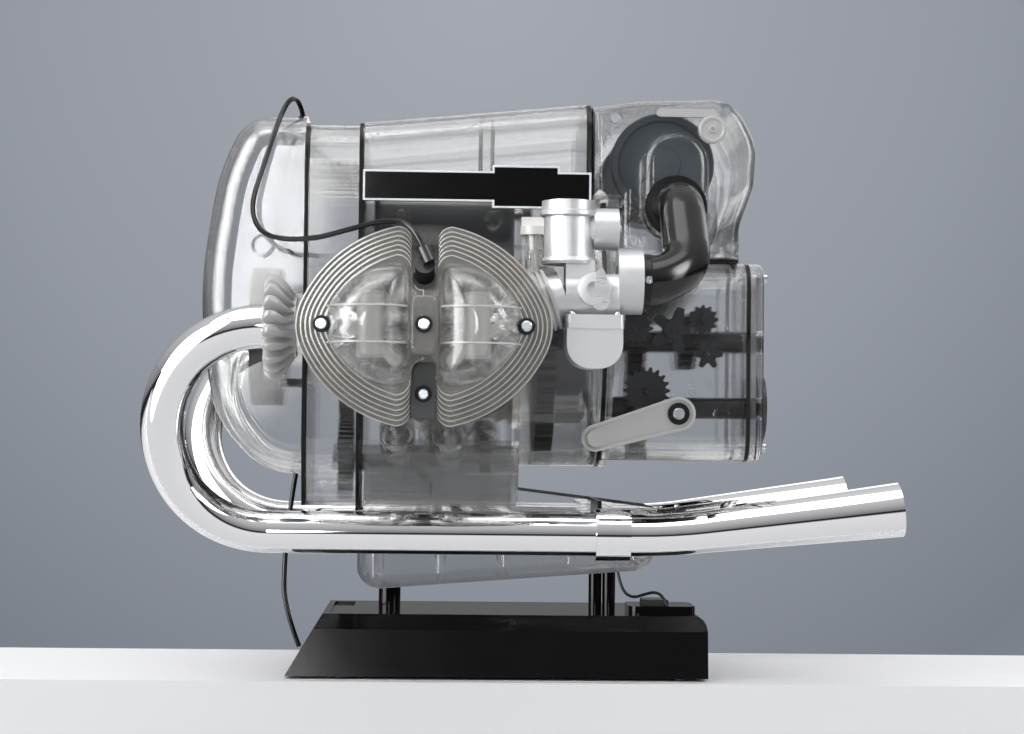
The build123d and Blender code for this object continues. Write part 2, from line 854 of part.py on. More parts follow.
with BuildPart() as gearbox_case:
    extrude(gearbox_section(bell_rear_x, 0), amount=gearbox_length)
    with BuildSketch(Plane.XZ):
        with Locations((bell_rear_x + gearbox_length / 2, crank_height + gearbox_rib_rise)):
            Rectangle(gearbox_length, gearbox_rib_width)
        with Locations((gearbox_ring_x, crank_height - gearbox_ring_drop)):
            Circle(gearbox_ring_radius)
            Circle(gearbox_ring_radius - case_wall, mode=Mode.SUBTRACT)
        with Locations(*gearbox_stud_places):
            RegularPolygon(gearbox_stud_radius, 6)
    extrude(amount=gearbox_half_width + gearbox_rib_height, both=True)
    extrude(
        gearbox_section(bell_rear_x + end_wall, case_wall), amount=gearbox_length, mode=Mode.SUBTRACT
    )
    bell_lid = across(bell_rear_x, 0, crank_height)
    extrude(disc_section(bell_lid, bell_radius), amount=end_wall)
    for shaft_height in (crank_height, layshaft_height):
        shaft_hole = across(bell_rear_x, 0, shaft_height)
        extrude(
            disc_section(shaft_hole, gearbox_shaft_radius + shaft_clearance),
            amount=end_wall,
            mode=Mode.SUBTRACT,
        )
    shift_hole = disc_section(sideways(shift_x, -gearbox_half_width - overrun, shift_height), shift_shaft_radius + shaft_clearance)
    extrude(shift_hole, amount=-case_wall - 2 * overrun, mode=Mode.SUBTRACT)
finish(gearbox_case, "gearbox_case")

with BuildPart() as gearbox_cover:
    extrude(gearbox_section(gearbox_rear_x, 0), amount=gearbox_cover_length)
    fillet(gearbox_cover.faces().sort_by(Axis.X)[-1].edges(), case_wall)
    extrude(
        gearbox_section(gearbox_rear_x, case_wall),
        amount=gearbox_cover_length - end_wall,
        mode=Mode.SUBTRACT,
    )
    for shaft_height in (crank_height, layshaft_height):
        shaft_hole = across(gearbox_rear_x, 0, shaft_height)
        extrude(
            disc_section(shaft_hole, gearbox_shaft_radius + shaft_clearance),
            amount=gearbox_cover_length,
            mode=Mode.SUBTRACT,
        )
finish(gearbox_cover, "gearbox_cover")

clutch_end_x = 34.0
input_start_x = clutch_end_x + running_gap

with BuildPart() as input_shaft:
    extrude(
        disc_section(across(input_start_x, 0, crank_height), gearbox_shaft_radius),
        amount=gearbox_rear_x + gearbox_cover_length - input_start_x,
    )
    mesh_plane = across(gear_pair_x, 0, crank_height)
    extrude(
        gear_section(mesh_plane, input_teeth, gear_module, -90, gearbox_shaft_radius - shaft_clearance),
        amount=gear_width,
    )
    spare_plane = across(spare_gear_x, 0, crank_height)
    extrude(
        gear_section(spare_plane, input_teeth, gear_module, -90, gearbox_shaft_radius - shaft_clearance),
        amount=gear_width,
    )
finish(input_shaft, "input_shaft")

with BuildPart() as layshaft:
    extrude(
        disc_section(across(bell_rear_x, 0, layshaft_height), gearbox_shaft_radius),
        amount=gearbox_length + gearbox_cover_length,
    )
    lay_plane = across(gear_pair_x, 0, layshaft_height)
    extrude(
        gear_section(
            lay_plane,
            layshaft_teeth,
            gear_module,
            90 + 180 / layshaft_teeth,
            gearbox_shaft_radius - shaft_clearance,
        ),
        amount=gear_width,
    )
    flange_plane = across(gearbox_rear_x + gearbox_cover_length, 0, layshaft_height)
    extrude(disc_section(flange_plane, output_flange_radius), amount=output_flange_length)
finish(layshaft, "layshaft")

# Crankshaft: webs on both sides of each connecting rod, with the front and rear journals

web_radius = 27.0
pin_boss_radius = 11.0
rod_slot = 14.0
front_web = 8.0
crank_pin_radius = 7.0
crank_gear_teeth = 20
idler_teeth = 34
cam_gear_teeth = 40
timing_module = 1.0
timing_gear_x = case_front_x - timing_gap - timing_gear_width
crank_nose_length = 36.0
crank_nose_x = timing_front_x - crank_nose_length
left_slot_x = left_cylinder_x - rod_slot / 2
right_slot_x = left_cylinder_x + cylinder_offset - rod_slot / 2
flywheel_x = case_rear_x + 9.0
flywheel_width = 10.0


def web_section(x, pin_sides):
    """Crank web with a boss for each pin and, for a single pin, a counterweight."""
    with BuildSketch(across(x, 0, crank_height)) as web:
        Circle(pin_boss_radius + crank_pin_radius / 2)
        for pin_side in pin_sides:
            with Locations((pin_side * crank_throw, 0)):
                Circle(pin_boss_radius)
        if len(pin_sides) == 1:
            Circle(web_radius)
            with Locations((pin_sides[0] * web_radius, 0)):
                Rectangle(web_radius, 2 * web_radius, mode=Mode.SUBTRACT)
            Circle(pin_boss_radius + crank_pin_radius / 2)
            with Locations((pin_sides[0] * crank_throw, 0)):
                Circle(pin_boss_radius)
    return web.sketch


with BuildPart() as crankshaft:
    extrude(web_section(left_slot_x - front_web, (-1,)), amount=front_web)
    extrude(web_section(left_slot_x + rod_slot, (-1, 1)), amount=right_slot_x - left_slot_x - rod_slot)
    extrude(web_section(right_slot_x + rod_slot, (1,)), amount=front_web)
    front_journal = across(left_slot_x - front_web, 0, crank_height)
    extrude(disc_section(front_journal, shaft_radius), amount=timing_front_x - case_wall - left_slot_x + front_web)
    nose_journal = across(timing_front_x - case_wall, 0, crank_height)
    extrude(disc_section(nose_journal, nose_shaft_radius), amount=crank_nose_x - timing_front_x + case_wall)
    rear_journal = across(right_slot_x + rod_slot + front_web, 0, crank_height)
    extrude(
        disc_section(rear_journal, shaft_radius),
        amount=flywheel_x + flywheel_width - right_slot_x - rod_slot - front_web,
    )
    gear_plane = across(timing_gear_x, 0, crank_height)
    extrude(
        gear_section(gear_plane, crank_gear_teeth, timing_module, -90, shaft_radius - shaft_clearance),
        amount=timing_gear_width,
    )

with BuildPart() as idler_gear:
    idler_face = across(timing_gear_x, 0, crank_height - idler_drop)
    extrude(
        gear_section(
            idler_face,
            idler_teeth,
            timing_module,
            90 + 180 / idler_teeth,
            idler_pin_radius + shaft_clearance,
        ),
        amount=timing_gear_width,
    )
finish(idler_gear, "idler_gear")

cam_base_radius = 7.5
cam_nose_radius = 3.5
cam_lift_offset = 7.3
lobe_width = 6.0
cam_end_gap = 1.0
lobe_angles = (200.0, 20.0, 110.0, 290.0)
lobe_places = (
    left_cylinder_x - rod_side,
    left_cylinder_x + rod_side,
    left_cylinder_x + cylinder_offset - rod_side,
    left_cylinder_x + cylinder_offset + rod_side,
)

with BuildPart() as camshaft:
    cam_start_x = timing_gear_x - timing_gap
    extrude(
        disc_section(across(cam_start_x, 0, cam_height), cam_journal_radius),
        amount=case_rear_x - cam_end_gap - cam_start_x,
    )
    for lobe_x, lobe_angle in zip(lobe_places, lobe_angles):
        with BuildSketch(across(lobe_x - lobe_width / 2, 0, cam_height)):
            Circle(cam_base_radius)
            with PolarLocations(cam_lift_offset, 1, start_angle=lobe_angle):
                Circle(cam_nose_radius)
            make_hull()
        extrude(amount=lobe_width)
    extrude(
        gear_section(
            across(timing_gear_x, 0, cam_height),
            cam_gear_teeth,
            timing_module,
            90,
            cam_journal_radius - shaft_clearance,
        ),
        amount=timing_gear_width,
    )
finish(camshaft, "camshaft")

# Flywheel with its ring gear, clutch and alternator rotor

clutch_radius = 46.0
rotor_radius = 21.0
rotor_length = 18.0
rotor_x = timing_front_x - 30.0
stator_outer_radius = 38.0
stator_inner_radius = rotor_radius + running_gap
stator_length = 16.0

with BuildPart() as flywheel:
    flywheel_plane = across(flywheel_x, 0, crank_height)
    extrude(
        gear_section(flywheel_plane, ring_teeth, ring_module, 90, shaft_radius + shaft_clearance),
        amount=flywheel_width,
    )

with BuildPart() as clutch:
    clutch_x = flywheel_x + flywheel_width + shaft_clearance
    extrude(disc_section(across(clutch_x, 0, crank_height), clutch_radius), amount=clutch_end_x - clutch_x)
    chamfer(clutch.faces().sort_by(Axis.X)[-1].edges(), case_wall)

with BuildPart() as flywheel_and_clutch:
    add(flywheel.part)
    add(clutch.part)
finish(flywheel_and_clutch, "flywheel_and_clutch")

with BuildPart() as alternator_rotor:
    rotor_plane = across(rotor_x, 0, crank_height)
    rotor_ring = ring_section(rotor_plane, rotor_radius, nose_shaft_radius + shaft_clearance)
    extrude(rotor_ring, amount=rotor_length)

with BuildPart() as crankshaft_and_rotor:
    add(crankshaft.part)
    add(alternator_rotor.part)
finish(crankshaft_and_rotor, "crankshaft_and_rotor")

with BuildPart() as alternator_stator:
    stator_plane = across(rotor_x, 0, crank_height)
    stator_reach = timing_front_x - rotor_x
    extrude(ring_section(stator_plane, stator_outer_radius, stator_inner_radius), amount=stator_length)
    with BuildSketch(stator_plane):
        with PolarLocations((stator_outer_radius + stator_inner_radius) / 2, 3):
            Circle(case_wall)
    extrude(amount=stator_reach)
finish(alternator_stator, "alternator_stator")

# Starter motor above the crankshaft, its pinion clear in front of the ring gear

starter_radius = 16.0
starter_length = 76.0
starter_nose_radius = 4.0

with BuildPart() as starter_motor:
    starter_rear_x = case_rear_x - end_wall
    extrude(disc_section(across(starter_rear_x, 0, starter_height), starter_radius), amount=-starter_length)
    fillet(starter_motor.faces().sort_by(Axis.X)[0].edges(), starter_nose_radius)
    pinion_start_x = flywheel_x - pinion_gap - pinion_width
    extrude(
        disc_section(across(starter_rear_x, 0, starter_height), starter_shaft_radius),
        amount=pinion_start_x + pinion_width - starter_rear_x,
    )
    pinion_plane = across(pinion_start_x, 0, starter_height)
    pinion_bore = starter_shaft_radius - shaft_clearance
    extrude(gear_section(pinion_plane, pinion_teeth, ring_module, 90, pinion_bore), amount=pinion_width)
finish(starter_motor, "starter_motor")

# Cylinders with cooling fins

barrel_length = 55.0
spigot_length = 12.0
fin_radius = 45.0
fin_count = 9
fin_pitch = 5.8
fin_thickness = 1.8
head_base = case_half_width + barrel_length

with BuildPart() as left_cylinder:
    extrude(
        disc_section(outward(case_half_width - spigot_length), spigot_radius),
        amount=spigot_length + barrel_length,
    )
    for fin in range(fin_count):
        fin_place = case_half_width + fin * fin_pitch
        extrude(disc_section(outward(fin_place), fin_radius), amount=fin_thickness)
    extrude(
        disc_section(outward(case_half_width - spigot_length - overrun), bore_radius),
        amount=spigot_length + barrel_length + 2 * overrun,
        mode=Mode.SUBTRACT,
    )
    for side in (-1, 1):
        notch = disc_section(along_pushrod(side, case_half_width), boot_radius + running_gap)
        extrude(notch, amount=boot_length + running_gap, both=True, mode=Mode.SUBTRACT)
        notch = disc_section(along_pushrod(side, case_half_width), pushrod_tube_radius + running_gap)
        extrude(notch, amount=slant(barrel_length) + overrun, mode=Mode.SUBTRACT)
finish(left_cylinder, "left_cylinder")
with BuildPart() as right_cylinder:
    add(right_twin(left_cylinder, cylinder_offset).part)
    with Locations((case_rear_x - end_wall - running_gap, 0, crank_height)):
        Box(
            2 * fin_radius,
            2 * (bell_radius + running_gap),
            2 * bell_radius,
            align=(Align.MIN, Align.CENTER, Align.CENTER),
            mode=Mode.SUBTRACT,
        )
finish(right_cylinder, "right_cylinder")

# Pushrod tubes with their round boots at the crankcase

with BuildPart() as left_tubes:
    for side in (-1, 1):
        tube_plane = along_pushrod(side, case_half_width)
        extrude(disc_section(tube_plane, pushrod_tube_radius), amount=slant(barrel_length))
        extrude(disc_section(tube_plane, boot_radius), amount=boot_length)
        extrude(
            disc_section(tube_plane, pushrod_bore), amount=slant(barrel_length) * 2, both=True, mode=Mode.SUBTRACT
        )
    case_side = Plane(origin=(0, -case_half_width, 0), x_dir=(1, 0, 0), z_dir=(0, -1, 0))
    split(bisect_by=case_side, keep=Keep.TOP)
    split(bisect_by=outward(head_base), keep=Keep.BOTTOM)
right_tubes = right_twin(left_tubes, cylinder_offset)

with BuildPart() as pushrod_tubes:
    add(left_tubes.part)
    add(right_tubes.part)
finish(pushrod_tubes, "pushrod_tubes")

# Pistons with their wrist pins, and connecting rods with the crank pins they carry

piston_crown = 18.0
piston_skirt = 12.0
piston_wall = 3.0
crown_thickness = 4.5
wrist_pin_radius = 4.5
pin_boss_wall = 3.5
small_end_width = 12.0
small_end_radius = 8.0
big_end_radius = 12.5
shank_wide = 12.0
shank_narrow = 9.0
shank_thick = 7.0
groove_depth = 0.9
groove_width = 1.4
groove_pitch = 3.4
groove_count = 3
first_groove = 3.0
piston_radius = bore_radius - 0.3 * overrun
pin_distance = crank_throw + rod_length
rod_width = rod_slot - 2 * running_gap

with BuildPart() as left_piston:
    extrude(
        disc_section(outward(pin_distance - piston_skirt), piston_radius),
        amount=piston_skirt + piston_crown,
    )
    extrude(
        disc_section(outward(pin_distance - piston_skirt - overrun), piston_radius - piston_wall),
        amount=overrun + piston_skirt + piston_crown - crown_thickness,
        mode=Mode.SUBTRACT,
    )
    for groove in range(groove_count):
        groove_place = pin_distance + piston_crown - first_groove - groove * groove_pitch
        groove_ring = ring_section(outward(groove_place), piston_radius + overrun, piston_radius - groove_depth)
        extrude(groove_ring, amount=-groove_width, mode=Mode.SUBTRACT)
    boss_plane = Plane(
        origin=(left_cylinder_x, -pin_distance, crank_height), x_dir=(0, 1, 0), z_dir=(1, 0, 0)
    )
    boss_inner = small_end_width / 2 + running_gap
    for facing in (-1, 1):
        extrude(
            disc_section(boss_plane.offset(facing * boss_inner), wrist_pin_radius + pin_boss_wall),
            amount=facing * (piston_radius - piston_wall / 2 - boss_inner),
        )
    extrude(
        disc_section(boss_plane, wrist_pin_radius), amount=piston_radius + overrun, both=True, mode=Mode.SUBTRACT
    )
    pin_half_length = piston_radius - 2 * piston_wall / 2
    extrude(
        disc_section(boss_plane, wrist_pin_radius - shaft_clearance), amount=pin_half_length, both=True
    )
finish(left_piston, "left_piston")
right_piston = right_twin(left_piston, cylinder_offset)
finish(right_piston, "right_piston")

with BuildPart() as left_rod:
    rod_plane = Plane(
        origin=(left_cylinder_x, 0, crank_height), x_dir=(0, -1, 0), z_dir=(1, 0, 0)
    )
    big_end = crank_throw
    with BuildSketch(rod_plane):
        with Locations((big_end, 0)):
            Circle(big_end_radius)
    extrude(amount=rod_width / 2, both=True)
    with BuildSketch(rod_plane):
        with Locations((pin_distance, 0)):
            Circle(small_end_radius)
    extrude(amount=small_end_width / 2, both=True)
    with BuildSketch(rod_plane):
        with BuildLine():
            Polyline(
                (big_end, -shank_wide / 2),
                (pin_distance, -shank_narrow / 2),
                (pin_distance, shank_narrow / 2),
                (big_end, shank_wide / 2),
                close=True,
            )
        make_face()
    extrude(amount=shank_thick / 2, both=True)
    with BuildSketch(rod_plane):
        with Locations((big_end, 0)):
            Circle(crank_pin_radius + shaft_clearance)
        with Locations((pin_distance, 0)):
            Circle(wrist_pin_radius)
    extrude(amount=rod_slot, both=True, mode=Mode.SUBTRACT)
    with BuildSketch(rod_plane):
        with Locations((big_end, 0)):
            Circle(crank_pin_radius)
    extrude(amount=rod_slot / 2 - running_gap, both=True)
finish(left_rod, "left_rod")
right_rod = right_twin(left_rod, cylinder_offset)
finish(right_rod, "right_rod")

# Cylinder heads: fins of a pointed oval outline round a hollow core

head_half_length = 62.8
head_half_height = 50.3
head_end_radius = 28.0
head_length = 45.0
head_fin_count = 8
head_fin_pitch = 5.4
head_core_inset = 10.0
head_wall = 4.0
room_depth = 12.0
port_distance = 127.0
port_radius = 8.0
port_boss_radius = 12.5
exhaust_boss_reach = 63.2
inlet_boss_reach = 41.0
stub_reach = 35.5
stub_length = 11.0
stub_radius = 14.2
stub_rib_radius = 15.8
inlet_rise = 20.0
chamber_depth = 11.0
plug_start = 112.0
plug_start_rise = 7.0
plug_slope = 0.444
plug_radius = 4.0
plug_cap_radius = 4.8
plug_keep_out_width = 17.0
plug_keep_out_low = 10.5
cover_base = head_base + head_length


def head_section(plane, inset):
    """The pointed oval of the head, drawn in by a distance."""
    side_reach = head_half_length - head_end_radius
    drop = (side_reach**2 - (head_half_height - head_end_radius) ** 2) / (
        2 * (head_half_height - head_end_radius)
    )
    flank_radius = head_half_height + drop
    share = flank_radius / math.hypot(side_reach, drop)
    meet = (side_reach * share, drop * share - drop)
    with BuildSketch(plane) as section:
        with BuildLine():
            ThreePointArc((-meet[0], meet[1]), (0, head_half_height), meet)
            ThreePointArc(meet, (head_half_length, 0), (meet[0], -meet[1]))
            ThreePointArc((meet[0], -meet[1]), (0, -head_half_height), (-meet[0], -meet[1]))
            ThreePointArc((-meet[0], -meet[1]), (-head_half_length, 0), (-meet[0], meet[1]))
        make_face()
        if inset:
            offset(amount=-inset)
    return section.sketch


def room_section(plane, inset):
    """The space for the valve gear, left full where the spark plug passes."""
    with BuildSketch(plane) as section:
        add(plane.to_local_coords(head_section(plane, inset)))
        with Locations((0, plug_keep_out_low + head_half_height / 2)):
            Rectangle(plug_keep_out_width, head_half_height, mode=Mode.SUBTRACT)
    return section.sketch


def plug_plane(distance):
    """Plane square to the left spark plug where it is this far out."""
    rise = plug_start_rise + plug_slope * (distance - plug_start)
    return Plane(
        origin=(left_cylinder_x, -distance, crank_height + rise),
        x_dir=(1, 0, 0),
        z_dir=(0, -1, plug_slope),
    )


# Valves lean outwards in the head; side -1 is the exhaust valve and 1 the inlet valve
valve_tip_reach = 39.0
valve_tip_distance = 162.6
valve_foot_reach = 12.5
valve_foot_distance = 112.0
valve_length = math.hypot(valve_tip_reach - valve_foot_reach, valve_tip_distance - valve_foot_distance)
valve_stem_radius = 2.4
valve_head_radius = 8.0
valve_rim = 1.5
retainer_radius = 7.0
retainer_place = 4.0
retainer_thickness = 2.0
spring_pocket_radius = 8.5
spring_foot_place = 30.0
rocker_reach = 26.0
rocker_distance = 168.0
rocker_shaft_radius = 4.0
rocker_post_width = 10.0
rocker_post_height = 5.5
rocker_post_start = 16.5


def along_valve(side, depth):
    """Plane square to a left valve, this far from the tip of its stem towards the chamber."""
    share = depth / valve_length
    lean = valve_tip_reach - valve_foot_reach
    fall = valve_tip_distance - valve_foot_distance
    return Plane(
        origin=(
            left_cylinder_x + side * (valve_tip_reach - lean * share),
            -valve_tip_distance + fall * share,
            crank_height,
        ),
        x_dir=(0, 0, 1),
        z_dir=(-side * lean, fall, 0),
    )


def inlet_plane(reach):
    """Plane square to the left inlet port, this far from the valve."""
    tilt = math.radians(inlet_rise)
    start = port_start_reach
    return Plane(
        origin=(
            left_cylinder_x + start + reach * math.cos(tilt),
            -port_distance,
            crank_height + reach * math.sin(tilt),
        ),
        x_dir=(0, 1, 0),
        z_dir=(math.cos(tilt), 0, math.sin(tilt)),
    )


port_start_reach = valve_tip_reach - (valve_tip_reach - valve_foot_reach) * (
    valve_tip_distance - port_distance
) / (valve_tip_distance - valve_foot_distance)

with BuildPart() as left_head:
    extrude(head_section(outward(head_base), head_core_inset), amount=head_length)
    for fin in range(head_fin_count):
        fin_place = head_base + fin * head_fin_pitch
        extrude(head_section(outward(fin_place), 0), amount=fin_thickness)
    extrude(head_section(outward(cover_base - fin_thickness), 0), amount=fin_thickness)
    exhaust_face = Plane(
        origin=(left_cylinder_x - exhaust_boss_reach, -port_distance, crank_height),
        x_dir=(0, 1, 0),
        z_dir=(1, 0, 0),
    )
    inlet_clear = disc_section(inlet_plane(stub_reach - overrun), stub_rib_radius + running_gap)
    extrude(inlet_clear, amount=exhaust_boss_reach, mode=Mode.SUBTRACT)
    exhaust_clear = disc_section(exhaust_face, pin_boss_radius + end_wall)
    extrude(exhaust_clear, amount=-exhaust_boss_reach / 2, mode=Mode.SUBTRACT)
    extrude(disc_section(exhaust_face, port_boss_radius), amount=exhaust_boss_reach - port_start_reach)
    extrude(disc_section(inlet_plane(0), port_boss_radius), amount=inlet_boss_reach)
    room = room_section(outward(cover_base - room_depth), head_core_inset + head_wall)
    extrude(room, amount=room_depth + overrun, mode=Mode.SUBTRACT)
    for side in (-1, 1):
        for end in (-1, 1):
            with BuildSketch(outward(cover_base - room_depth)):
                with Locations((side * rocker_reach, end * (rocker_post_start + rocker_post_height / 2))):
                    Rectangle(rocker_post_width, rocker_post_height)
            extrude(amount=rocker_distance + rocker_post_width / 2 - cover_base + room_depth)
    chamber_radius = (bore_radius**2 + chamber_depth**2) / (2 * chamber_depth)
    chamber_centre = head_base + chamber_depth - chamber_radius
    with Locations((left_cylinder_x, -chamber_centre, crank_height)):
        Sphere(chamber_radius, mode=Mode.SUBTRACT)
    extrude(
        disc_section(exhaust_face.offset(-overrun), port_radius),
        amount=exhaust_boss_reach - port_start_reach + overrun,
        mode=Mode.SUBTRACT,
    )
    extrude(disc_section(inlet_plane(0), port_radius), amount=inlet_boss_reach + overrun, mode=Mode.SUBTRACT)
    for side in (-1, 1):
        guide_bore = disc_section(along_valve(side, 0), valve_stem_radius + shaft_clearance)
        extrude(guide_bore, amount=valve_length, mode=Mode.SUBTRACT)
        throat = disc_section(along_valve(side, valve_length - valve_head_radius * 2), valve_head_radius - overrun)
        extrude(throat, amount=valve_head_radius * 2, mode=Mode.SUBTRACT)
        seat = disc_section(
            along_valve(side, valve_length - valve_rim - seat_gap), valve_head_radius + running_gap
        )
        extrude(seat, amount=valve_head_radius, mode=Mode.SUBTRACT)
        pocket = disc_section(along_valve(side, 0), spring_pocket_radius)
        extrude(pocket, amount=spring_foot_place, mode=Mode.SUBTRACT)
        rod_bore = disc_section(along_pushrod(side, head_base - overrun), pushrod_bore)
        extrude(rod_bore, amount=slant(head_length) + 2 * overrun, mode=Mode.SUBTRACT)
        with BuildSketch(Plane.XY.offset(crank_height - rocker_post_start - rocker_post_height - overrun)):
            with Locations((left_cylinder_x + side * rocker_reach, -rocker_distance)):
                Circle(rocker_shaft_radius + shaft_clearance)
        extrude(amount=2 * (rocker_post_start + rocker_post_height + overrun), mode=Mode.SUBTRACT)
        with BuildSketch(Plane.XY.offset(crank_height - rocker_post_start - rocker_post_height)):
            with Locations((left_cylinder_x + side * rocker_reach, -rocker_distance)):
                Circle(rocker_shaft_radius)
        extrude(amount=2 * (rocker_post_start + rocker_post_height))
    plug_bore = disc_section(plug_plane(head_base), plug_radius + seat_gap)
    extrude(plug_bore, amount=slant(head_length) + 5 * overrun, mode=Mode.SUBTRACT)
finish(left_head, "left_head")
right_head = right_twin(left_head, cylinder_offset)
finish(right_head, "right_head")

# Valves with their retainers

def valve(side):
    """A left valve with the collar that holds its spring."""
    with BuildPart() as one_valve:
        extrude(disc_section(along_valve(side, 0), valve_stem_radius), amount=valve_length)
        extrude(disc_section(along_valve(side, retainer_place), retainer_radius), amount=retainer_thickness)
        rim_plane = along_valve(side, valve_length - valve_rim)
        extrude(disc_section(rim_plane, valve_head_radius), amount=valve_rim)
    return one_valve


def valve_spring(side):
    """The spring of a left valve, wound of square wire."""
    wire_half = spring_wire / 2
    start = retainer_place + retainer_thickness + seat_gap + 2 * wire_half
    height = spring_foot_place - seat_gap - 2 * spring_wire - start
    base = along_valve(side, start)
    with BuildPart() as spring:
        with BuildLine():
            coil = Helix(
                pitch=height / spring_turns,
                height=height,
                radius=spring_radius,
                center=base.origin,
                direction=base.z_dir,
            )
        wire_start = Plane(origin=coil @ 0, z_dir=coil % 0)
        with BuildSketch(wire_start):
            Rectangle(2 * wire_half, 2 * wire_half)
        sweep(path=coil, is_frenet=True)
    return spring


spring_wire = 1.0
spring_radius = 6.0
spring_turns = 4.5

exhaust_side = -1
inlet_side = 1
left_exhaust_valve = valve(exhaust_side)
finish(left_exhaust_valve, "left_exhaust_valve")
left_inlet_valve = valve(inlet_side)
finish(left_inlet_valve, "left_inlet_valve")
right_exhaust_valve = right_twin(left_exhaust_valve, cylinder_offset)
finish(right_exhaust_valve, "right_exhaust_valve")
right_inlet_valve = right_twin(left_inlet_valve, cylinder_offset)
finish(right_inlet_valve, "right_inlet_valve")

with BuildPart() as valve_springs:
    for side in (exhaust_side, inlet_side):
        one_spring = valve_spring(side)
        add(one_spring.part)
        add(right_twin(one_spring, cylinder_offset).part)
finish(valve_springs, "valve_springs")

# Rockers and pushrods

rocker_bar_width = 6.0
rocker_bar_thickness = 6.8
rocker_hub_radius = 6.5
rocker_hub_gap = 0.6
pushrod_end_distance = 163.2
tappet_start_distance = 12.8
tappet_end_distance = 44.0


def rocker(side):
    """A left rocker, with one arm over the valve and the other over the pushrod."""
    hub_half = rocker_post_start - rocker_hub_gap
    push_height = rod_line_height + rod_line_slope * rocker_distance - crank_height
    low_face = outward(rocker_distance - rocker_bar_thickness / 2)
    with BuildPart() as one_rocker:
        with BuildSketch(Plane.XY.offset(crank_height - hub_half)):
            with Locations((left_cylinder_x + side * rocker_reach, -rocker_distance)):
                Circle(rocker_hub_radius)
        extrude(amount=2 * hub_half)
        hub_middle = (side * rocker_reach, push_height / 3)
        for arm_end in ((side * valve_tip_reach, 0), (side * rod_side, push_height)):
            with BuildSketch(low_face):
                with Locations(hub_middle, arm_end):
                    Circle(rocker_bar_width / 2)
                make_hull()
            extrude(amount=rocker_bar_thickness)
        with BuildSketch(Plane.XY.offset(crank_height - hub_half - overrun)):
            with Locations((left_cylinder_x + side * rocker_reach, -rocker_distance)):
                Circle(rocker_shaft_radius + shaft_clearance)
        extrude(amount=2 * (hub_half + overrun), mode=Mode.SUBTRACT)
    return one_rocker


def pushrod(side):
    """A left pushrod standing in its tappet."""
    with BuildPart() as rod:
        tappet_length = slant(tappet_end_distance - tappet_start_distance)
        extrude(disc_section(along_pushrod(side, tappet_start_distance), tappet_radius), amount=tappet_length)
        reach = slant(pushrod_end_distance - tappet_end_distance)
        extrude(disc_section(along_pushrod(side, tappet_end_distance), pushrod_radius), amount=reach)
    return rod


left_exhaust_rocker = rocker(exhaust_side)
finish(left_exhaust_rocker, "left_exhaust_rocker")
left_inlet_rocker = rocker(inlet_side)
finish(left_inlet_rocker, "left_inlet_rocker")
right_exhaust_rocker = right_twin(left_exhaust_rocker, cylinder_offset)
finish(right_exhaust_rocker, "right_exhaust_rocker")
right_inlet_rocker = right_twin(left_inlet_rocker, cylinder_offset)
finish(right_inlet_rocker, "right_inlet_rocker")
left_exhaust_pushrod = pushrod(exhaust_side)
finish(left_exhaust_pushrod, "left_exhaust_pushrod")
left_inlet_pushrod = pushrod(inlet_side)
finish(left_inlet_pushrod, "left_inlet_pushrod")
right_exhaust_pushrod = right_twin(left_exhaust_pushrod, cylinder_offset)
finish(right_exhaust_pushrod, "right_exhaust_pushrod")
right_inlet_pushrod = right_twin(left_inlet_pushrod, cylinder_offset)
finish(right_inlet_pushrod, "right_inlet_pushrod")

# Rocker covers: stepped rings below two raised lobes, with a notch for the spark plug

cover_ring_count = 6
cover_ring_rise = 2.7
cover_ring_step = 2.4
lobe_inset = 12.8
lobe_half_height = 29.0
lobe_height = 18.8
lobe_taper = 10.0
lobe_wall = 2.2
channel_half_width = 6.0
notch_half_width = 6.3
notch_low = 17.0
bridge_half_height = 16.0
bridge_height = 9.0
cover_floor = 3.0
cover_screw_reach = 49.5
cover_screw_boss = 3.6
lobe_base = cover_base + cover_ring_count * cover_ring_rise


def lobe_section(distance, inset):
    """The two lobes of the rocker cover, drawn in by a wall."""
    plane = outward(distance)
    with BuildSketch(plane) as section:
        add(plane.to_local_coords(head_section(plane, lobe_inset + inset)))
        Rectangle(2 * head_half_length, 2 * (lobe_half_height - inset), mode=Mode.INTERSECT)
        Rectangle(2 * (channel_half_width + inset), 2 * head_half_height, mode=Mode.SUBTRACT)
        for end in (-1, 1):
            with Locations((end * cover_screw_reach, 0)):
                Circle(cover_screw_boss + inset, mode=Mode.SUBTRACT)
    return section.sketch


